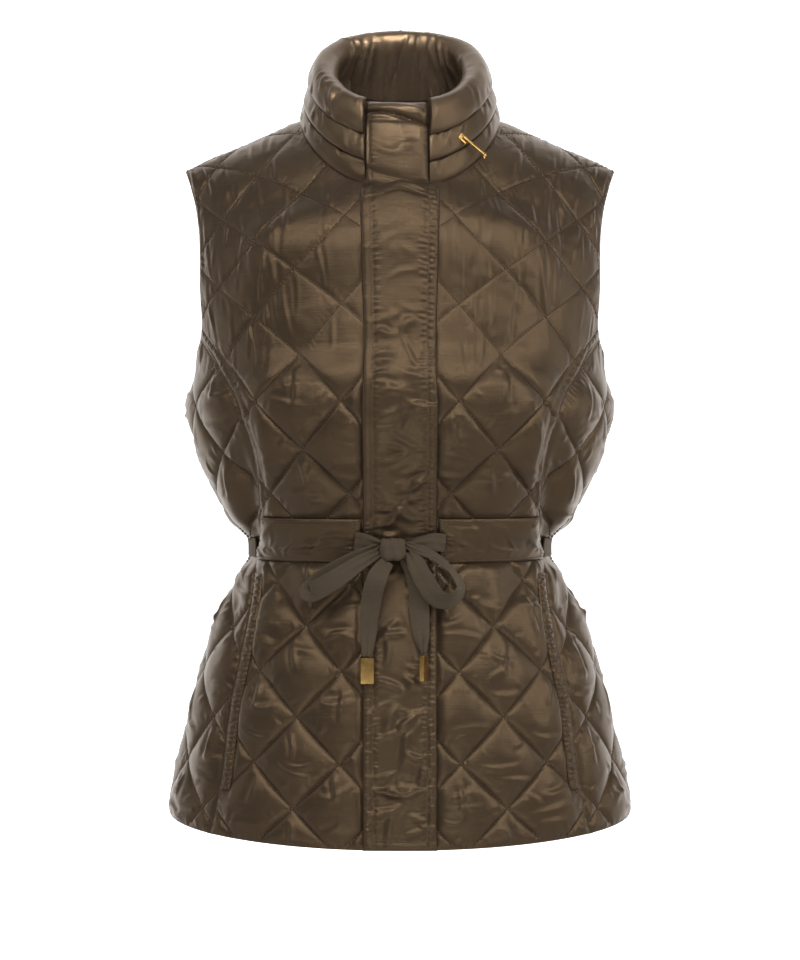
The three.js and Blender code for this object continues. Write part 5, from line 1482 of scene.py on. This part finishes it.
def ribbon_piece(name, node, stations, count, seed):
    """A stretch of ribbon through its stations, leaning and gathered as they say."""
    stations = np.array(stations, float)
    points = catmull(stations, count)
    at = np.linspace(0, len(stations) - 1, count + 1)
    width = np.interp(at, np.arange(len(stations)), stations[:, 3])
    lean = np.radians(np.interp(at, np.arange(len(stations)), stations[:, 4]))
    along = unit(np.gradient(points, axis=0))
    level = unit(np.cross(np.array([0, -1.0, 0]), along))
    turned = level * np.cos(lean)[:, None] + np.cross(along, level) * np.sin(lean)[:, None]
    normal = unit(np.cross(along, turned))
    # where the ribbon is gathered, folds run along it
    squeeze = np.clip(1 - width / (RIBBON_WIDTH + 1), 0, 1)[:, None]
    phase = np.random.default_rng(seed).uniform(0, 6.28)
    u, v = np.linspace(0, 1, len(points))[:, None], RIBBON_ACROSS[None]
    lift = (1.5 * squeeze * np.sin(v * 14 + phase + 1.5 * u)
            + 0.5 * np.sin(u * 9 + phase) * np.cos(v * 3))[..., None]
    cross = points[:, None] + turned[:, None] * (v[..., None] * width[:, None, None])
    half = (RIBBON_THICK / 2 * (1 - 0.35 * (np.abs(v) > 0.46)))[..., None]
    mesh_points, faces = wall_mesh(cross + normal[:, None] * (lift - half),
                                   cross + normal[:, None] * (lift + half))
    return dress(mesh_object(name, mesh_points, faces, grosgrain, 40), (node,))


# Stations of each piece: x, y, z, width, and how far its width leans in degrees
CENTRE_RIGHT = [(-40, -114.9, -379, 16, 0), (-31, -119, -380, 15, 0), (-15.1, -122.7, -383, 8, 0)]
CENTRE_LEFT = [(40, -114.6, -381, 16, 0), (30, -119, -380, 16, 0), (2.1, -122.7, -383, 8, 0)]
LOOP_RIGHT = [(-19.1, -126.5, -384.5, 8, 0), (-38, -129, -394, 15, 0), (-60, -129, -407, 18, 0),
              (-76, -130, -419, 18, 0), (-79.5, -133.5, -423, 18, 0), (-74, -137, -421.5, 18, 0),
              (-56, -140.5, -411, 17, 0), (-38, -138.5, -399, 14, 0), (-19.1, -131, -388.5, 8, 0)]
LOOP_LEFT = [(7.9, -129.5, -388, 8, 0), (14, -139, -398, 16, 0), (23, -142, -415, 18, 8),
             (34, -142, -429, 18, 25), (46, -140, -430, 18, 45), (53.5, -138, -420, 18, 65),
             (46, -136.5, -405, 17, 75), (30, -133.5, -392, 14, 60), (6.3, -126.5, -382.5, 7, 20)]
TAIL_RIGHT = [(-11, -132.5, -396.1, 12, 0), (-20, -143.5, -410, 18, 0), (-26, -137, -435, 18, 0),
              (-28, -140, -462, 14, 0), (-29, -146, -479, 9, 0)]
TAIL_LEFT = [(2.2, -127, -393.4, 7, 0), (14, -126.5, -412, 17, 0), (17, -131.5, -440, 18, 0),
             (19, -139, -462, 14, 10), (21, -146, -476.5, 8, 60)]
RIBBONS = [
    # piece, node, stations, steps along it, flat length in millimetres
    ("ribbon_from_casing_right", "ribbon_centre_right", CENTRE_RIGHT, 24, 26),
    ("ribbon_from_casing_left", "ribbon_centre_left", CENTRE_LEFT, 30, 39),
    ("bow_flat_loop", "bow_loop_right", LOOP_RIGHT, 90, 135),
    ("bow_open_loop", "bow_loop_left", LOOP_LEFT, 90, 125),
    ("ribbon_end_right", "ribbon_tail_right", TAIL_RIGHT, 60, 86),
    ("ribbon_end_left", "ribbon_tail_left", TAIL_LEFT, 60, 88)]
for seed, (name, node, stations, count, length) in enumerate(RIBBONS, 1):
    piece = ribbon_piece(name, node, stations, count, seed)

# The ribbon round the back of the waist, which lies straighter than the waist's own line
start = CASING_OUTER - 1
on_front = float(side_arc("front", WAIST)) - start
half = on_front + float(side_arc("back", WAIST))
u = np.linspace(-1, 1, 241)
v = RIBBON_ACROSS
along, level = np.meshgrid(np.abs(u) * half, v * WAIST_RIBBON_WIDTH, indexing="ij")
height = WAIST + 0.45 * level
lift = WALL / 2 + 2.4 + 0.25 * np.sin(along / 17 + 2 * np.sign(u)[:, None]) * np.cos(v * 4)[None]


def round_waist(out):
    """A grid of points this far out, from casing to casing round the back."""
    on_side = along > half - on_front
    front_arc = start + half - along
    front = smooth_point("front", front_arc, height) + outward("front", front_arc, height) * out[..., None]
    back = smooth_point("back", along, height) + outward("back", along, height) * out[..., None]
    point = np.where(on_side[..., None], front, back)
    point[..., 2] += 0.55 * level
    point[..., 0] = np.abs(point[..., 0]) * np.where(u > 0, -1, 1)[:, None]
    return point


points, faces = wall_mesh(round_waist(lift), round_waist(lift + 1.2))
waist_ribbon = mesh_object("ribbon_round_waist", points, faces, grosgrain, 40)
dress(waist_ribbon, ("ribbon_waist",))


KNOT_CENTRE = np.array((-6.5, -129, -386))
KNOT_SIZE = (23, 14, 20)
KNOT_POLE = 9.2


def knot_points(power, rows=40, columns=64):
    """A rounded block with the folds of a tied ribbon."""
    tilt = np.linspace(-QUARTER_TURN, QUARTER_TURN, rows + 1)[1:-1, None]
    turned = np.linspace(0, 2 * math.pi, columns + 1)[None, :-1]
    ball = np.stack(np.broadcast_arrays(np.cos(tilt) * np.cos(turned), np.cos(tilt) * np.sin(turned),
                                        np.sin(tilt)), -1)
    size = (np.abs(ball) ** power).sum(-1, keepdims=True) ** (-1 / power)
    x, z = ball[..., :1], ball[..., 2:]
    crease = 0.045 * np.sin(x * 10 + z * 2) + 0.02 * np.sin(x * 23 - 4 * z)
    return ball * size * (0.97 + crease) * np.array(KNOT_SIZE) / 2 + KNOT_CENTRE


knot = knot_points(4.2)
poles = knot.shape[0] * knot.shape[1]
number = np.arange(poles).reshape(knot.shape[:2])
ring = np.concatenate([number, number[:, :1]], 1)
caps = [np.stack([np.full(knot.shape[1], poles), ring[0, 1:], ring[0, :-1]], -1),
        np.stack([np.full(knot.shape[1], poles + 1), ring[-1, :-1], ring[-1, 1:]], -1)]
ends = [KNOT_CENTRE - (0, 0, KNOT_POLE), KNOT_CENTRE + (0, 0, KNOT_POLE)]
points = np.concatenate([knot.reshape(-1, 3), ends])
wrap = mesh_object("bow_knot_wrap", points, [quads(ring)] + caps, grosgrain, 180)
dress(wrap, ("bow_knot",))

# Metal

def bevelled_box(name, size, centre, axes, body="vest", bevel=0.7, node=None):
    """A box with rounded edges, in millimetres, turned to three axes."""
    mesh = bpy.data.meshes.new(name)
    made = bmesh.new()
    bmesh.ops.create_cube(made, size=1)
    bmesh.ops.scale(made, vec=Vector(size) * MM, verts=made.verts)
    bmesh.ops.bevel(made, geom=made.edges[:], offset=bevel * MM, segments=3, affect="EDGES", profile=0.6)
    made.to_mesh(mesh)
    made.free()
    corners = np.array([v.co for v in mesh.vertices]) @ np.array(axes) + np.array(centre) * MM
    mesh.vertices.foreach_set("co", corners.astype(np.float32).ravel())
    mesh.polygons.foreach_set("use_smooth", np.ones(len(mesh.polygons), bool))
    mesh.update()
    mesh.set_sharp_from_angle(angle=math.radians(35))
    obj = bpy.data.objects.new(name, mesh)
    scene.collection.objects.link(obj)
    mesh.materials.append(gold)
    dress(obj, (node,) if node else (), body)


TIP_SIZE = (12, 4, 22.5)
for side, tail, degrees in (("right", TAIL_RIGHT, 12), ("left", TAIL_LEFT, 68)):
    x, y, z = tail[-1][:3]
    turned = math.radians(degrees)
    upright = [(math.cos(turned), math.sin(turned), 0), (-math.sin(turned), math.cos(turned), 0), (0, 0, 1)]
    bevelled_box(f"ribbon_end_metal_{side}", TIP_SIZE, (x, y - 2, z - TIP_SIZE[2] / 2 - 1.4), upright,
                 node=f"ribbon_tip_{side}")

# The zip's pull: where its hinge is, and its axes along the bar, along the hinge and out of the collar
PIVOT = np.array((57.64, -81.06, -20.54))
BAR = np.array((0.7538, 0.2723, -0.5981))
HINGE = np.array((0.4366, 0.4727, 0.7655))
OUT = np.array((0.4911, -0.8381, 0.2374))
PULL_AXES = (BAR, HINGE, OUT)
bevelled_box("zip_slider_body", (9, 7, 2.6), PIVOT - OUT * 2.6, PULL_AXES, node="zip_slider", bevel=0.6)
bevelled_box("zip_pull_bar", (27, 2.4, 1.8), PIVOT + BAR * 12.6, PULL_AXES, "pull", 0.5, "zip_pull")
bevelled_box("zip_pull_end", (2.2, 3.4, 1.7), PIVOT + BAR * 25.0 - HINGE * 2.4, PULL_AXES, "pull", 0.4)

# The zip's tape is hidden by the placket, and only gets its cloth
tape_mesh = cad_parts["front_zip"].data
tape_mesh.materials.clear()
tape_mesh.materials.append(tape)

# Camera, light and floor

EYE = Vector((0, -3.0, -0.229))
LOOKED_AT = Vector((0, 0, -0.329))
camera = bpy.data.cameras.new("camera")
camera.sensor_fit = "VERTICAL"
camera.sensor_height = 36
camera.lens = 122.3
camera.clip_end = 50
viewer = bpy.data.objects.new("camera", camera)
scene.collection.objects.link(viewer)
viewer.location = EYE
viewer.rotation_euler = (LOOKED_AT - EYE).to_track_quat("-Z", "Y").to_euler()
scene.camera = viewer


def softbox(name, place, aim, size, power):
    light = bpy.data.lights.new(name, "AREA")
    light.shape = "RECTANGLE"
    light.size, light.size_y = size
    light.energy = power
    obj = bpy.data.objects.new(name, light)
    scene.collection.objects.link(obj)
    obj.location = place
    obj.rotation_euler = (Vector(aim) - Vector(place)).to_track_quat("-Z", "Y").to_euler()
    return light


VEST_MIDDLE = -0.33


def softbox_at(name, elevation, azimuth, distance, size, power):
    """A softbox aimed at the vest from a direction in degrees, azimuth 0 being the camera's side."""
    up, turned = math.radians(elevation), math.radians(azimuth)
    place = (distance * math.cos(up) * math.sin(turned), -distance * math.cos(up) * math.cos(turned),
             VEST_MIDDLE + distance * math.sin(up))
    softbox(name, place, (0, 0, VEST_MIDDLE), size, power)


FAR = 2.6
for light in (
        # name, elevation, azimuth, distance, size, power
        ("front_light", 16, 0, FAR, (1.6, 0.4), 4.5),
        ("high_light", 39, 0, FAR, (2.0, 0.3), 15.5),
        ("overhead_light", 75, 0, FAR, (1.6, 0.6), 4.0),
        ("floor_bounce_light", -30, 0, 1.08, (0.7, 0.12), 0.7),
        ("right_light", 16, 55, FAR, (0.6, 1.0), 8.0),
        ("far_right_light", 10, 85, FAR, (0.6, 1.4), 4.0),
        ("far_left_light", 10, -85, FAR, (0.6, 1.4), 2.5),
        ("high_right_light", 40, 45, FAR, (1.0, 0.5), 7.0),
        ("high_left_light", 40, -45, FAR, (1.0, 0.5), 7.0)):
    softbox_at(*light)
collar_light = softbox("collar_light", (0.06, -0.95, 0.75), (0, 0.08, 0.06), (0.22, 0.22), 0.26)
collar_light.spread = math.radians(12)

world = bpy.data.worlds.new("studio")
scene.world = world
world.use_nodes = True
world.node_tree.nodes["Background"].inputs["Color"].default_value = (1, 1, 1, 1)
world.node_tree.nodes["Background"].inputs["Strength"].default_value = 0.13
scene.view_settings.view_transform = "Standard"

# Metres: the floor's height, where it starts to curve up, that curve's radius, and how far it goes on
FLOOR, CURVE_START, CURVE_RADIUS, REACH = -0.9, 3.0, 1.6, 9


def paper_material():
    """Pale paper, bright only behind the vest, where the camera sees it."""
    made, nodes, links, shader = material("paper")
    shader.inputs["Roughness"].default_value = 0.9
    shader.inputs["Emission Color"].default_value = (1, 1, 1, 1)
    place = nodes.new("ShaderNodeTexCoord")
    apart = nodes.new("ShaderNodeSeparateXYZ")
    links.new(place.outputs["Object"], apart.inputs["Vector"])
    for low, high, socket in ((0.12, 1.0, "Emission Strength"), (0.4, 0.9, "Base Color")):
        fade = add_node(nodes, "ShaderNodeMapRange", {"From Min": 0.3, "From Max": 0.65,
                                                      "To Min": low, "To Max": high})
        wire(links, (apart, "Y", fade, "Value"), (fade, "Result", shader, socket))
    return made


floor_mesh = bpy.data.meshes.new("floor")
bend = [(CURVE_START + CURVE_RADIUS * math.sin(t), FLOOR + CURVE_RADIUS * (1 - math.cos(t)))
        for t in np.linspace(0, QUARTER_TURN, 25)]
profile = [(-REACH, FLOOR)] + bend + [(CURVE_START + CURVE_RADIUS, REACH)]
floor_mesh.from_pydata([(x, y, z) for y, z in profile for x in (-REACH, REACH)], [],
                       [(2 * k, 2 * k + 1, 2 * k + 3, 2 * k + 2) for k in range(len(profile) - 1)])
floor_mesh.materials.append(paper_material())
floor = bpy.data.objects.new("floor", floor_mesh)
scene.collection.objects.link(floor)
